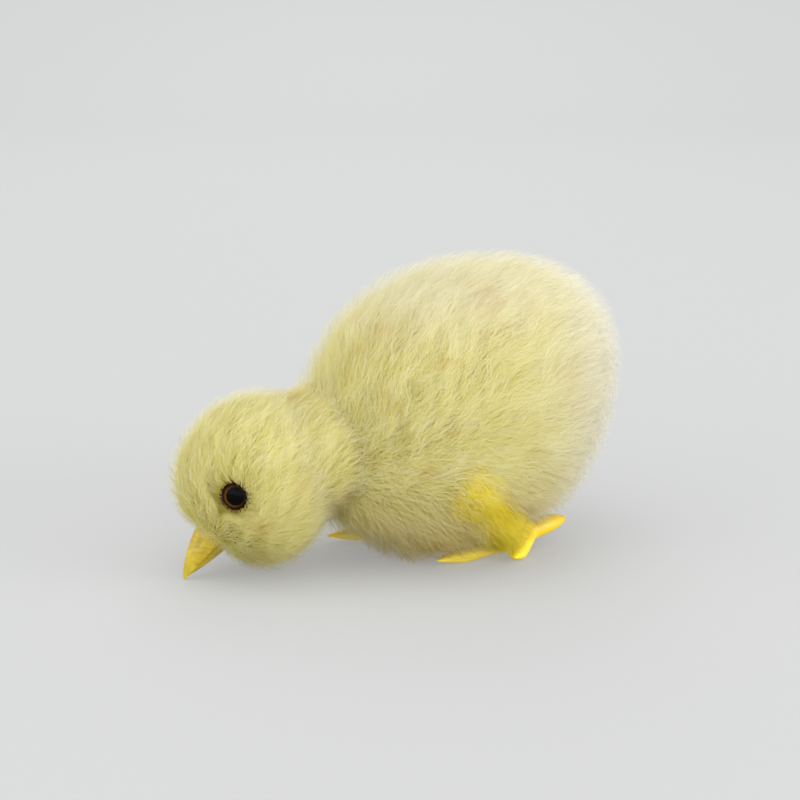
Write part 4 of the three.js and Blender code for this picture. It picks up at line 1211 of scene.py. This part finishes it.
known = {node: finish for finish, nodes in finishOf.items() for node in nodes}
for node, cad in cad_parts.items():
    cad.data.materials.clear()
    cad.data.materials.append(finishes[known.get(node, "steel")])

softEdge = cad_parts["winding_knob"].modifiers.new("softEdge", "BEVEL")
softEdge.width = 0.5 * mm
softEdge.segments = 4
softEdge.limit_method = "ANGLE"
softEdge.angle_limit = math.radians(35)
softEdge.harden_normals = False
print("clockwork finished")

# stage, lights and camera

studio = {
    "azimuth": 68,
    "elevation": 14,
    "distance": 420,
    "lens": 85.05,
    "aimAhead": (-9.5, 5.6, 32.0),
    "floor": "#8C8D8D",
    "floorGlow": 0.26,
    "floorNear": 3.0,  # metres
    "floorFar": 0.9,
    "sweepRadius": 0.7,
    "wallTop": 3.5,
    "halfWidth": 4,
    "air": 1.3,  # light from all round
    "lampAim": 0.03,  # metres above the floor
    "lamps": {  # azimuth, elevation, distance and size in metres, power
        "overheadSoftbox": (40, 78, 1.1, 1.2, 3.2),
        "headSoftbox": (20, 6, 1.2, 1.1, 6),
        "frontSoftbox": (68, 9, 1.3, 1.1, 4.5),
        "tailSoftbox": (135, 10, 1.2, 0.9, 9),
        "farSoftbox": (250, 40, 1.2, 1.0, 4.5),
    },
}


def makeStage():
    # white acrylic sheet, lit a little from below: shadows on it stay pale
    material, tree, _ = newMaterial("litAcrylicSheet")
    shader = addNode(
        tree, "BsdfPrincipled",
        {"Base Color": toLinear(studio["floor"]), "Roughness": 0.9, "Specular IOR Level": 0.1,
         "Emission Color": toLinear("#FFFFFF"), "Emission Strength": studio["floorGlow"]})
    finishMaterial(tree, shader)
    sweep = bmesh.new()
    radius, far = studio["sweepRadius"], studio["floorFar"]
    profile = [(-studio["floorNear"], 0), (far, 0)]
    for a in np.linspace(0.1, math.pi / 2, 14):
        profile.append((far + radius * math.sin(a), radius - radius * math.cos(a)))
    profile.append((far + radius, studio["wallTop"]))
    away = math.radians(studio["azimuth"])
    forward = Vector((-math.sin(away), math.cos(away), 0))
    sideways = Vector((math.cos(away), math.sin(away), 0))
    rows = []
    for ahead, height in profile:
        middle = forward * ahead + Vector((0, 0, height))
        edge = sideways * studio["halfWidth"]
        rows.append([sweep.verts.new(middle - edge), sweep.verts.new(middle + edge)])
    for a, b in zip(rows, rows[1:]):
        sweep.faces.new((a[0], a[1], b[1], b[0]))
    mesh = bpy.data.meshes.new("backdrop")
    sweep.to_mesh(mesh)
    sweep.free()
    mesh.shade_smooth()
    mesh.materials.append(material)
    backdrop = bpy.data.objects.new("backdrop", mesh)
    bpy.context.collection.objects.link(backdrop)


def directionOf(azimuth, elevation):
    a, e = math.radians(azimuth), math.radians(elevation)
    return Vector((math.sin(a) * math.cos(e), -math.cos(a) * math.cos(e), math.sin(e)))


def addLight(name, azimuth, elevation, distance, size, power):
    light = bpy.data.lights.new(name, "AREA")
    light.shape = "DISK"
    light.size = size
    light.energy = power
    lamp = bpy.data.objects.new(name, light)
    bpy.context.collection.objects.link(lamp)
    back = directionOf(azimuth, elevation)
    lamp.location = Vector((0, 0, studio["lampAim"])) + back * distance
    lamp.rotation_euler = back.to_track_quat("Z", "Y").to_euler()


def makeCamera():
    data = bpy.data.cameras.new("camera")
    data.lens = studio["lens"]
    data.sensor_width = 36
    camera = bpy.data.objects.new("camera", data)
    bpy.context.collection.objects.link(camera)
    back = directionOf(studio["azimuth"], studio["elevation"])
    camera.location = (Vector(studio["aimAhead"]) + back * studio["distance"]) * mm
    camera.rotation_euler = back.to_track_quat("Z", "Y").to_euler()
    data.clip_start, data.clip_end = 0.01, 50
    bpy.context.scene.camera = camera


makeStage()
for name, lamp in studio["lamps"].items():
    addLight(name, *lamp)
makeCamera()
world = bpy.data.worlds.new("studioAir")
world.use_nodes = True
world.node_tree.nodes["Background"].inputs["Color"].default_value = toLinear("#FFFFFF")
world.node_tree.nodes["Background"].inputs["Strength"].default_value = studio["air"]
bpy.context.scene.world = world
bpy.context.scene.view_settings.view_transform = "Standard"
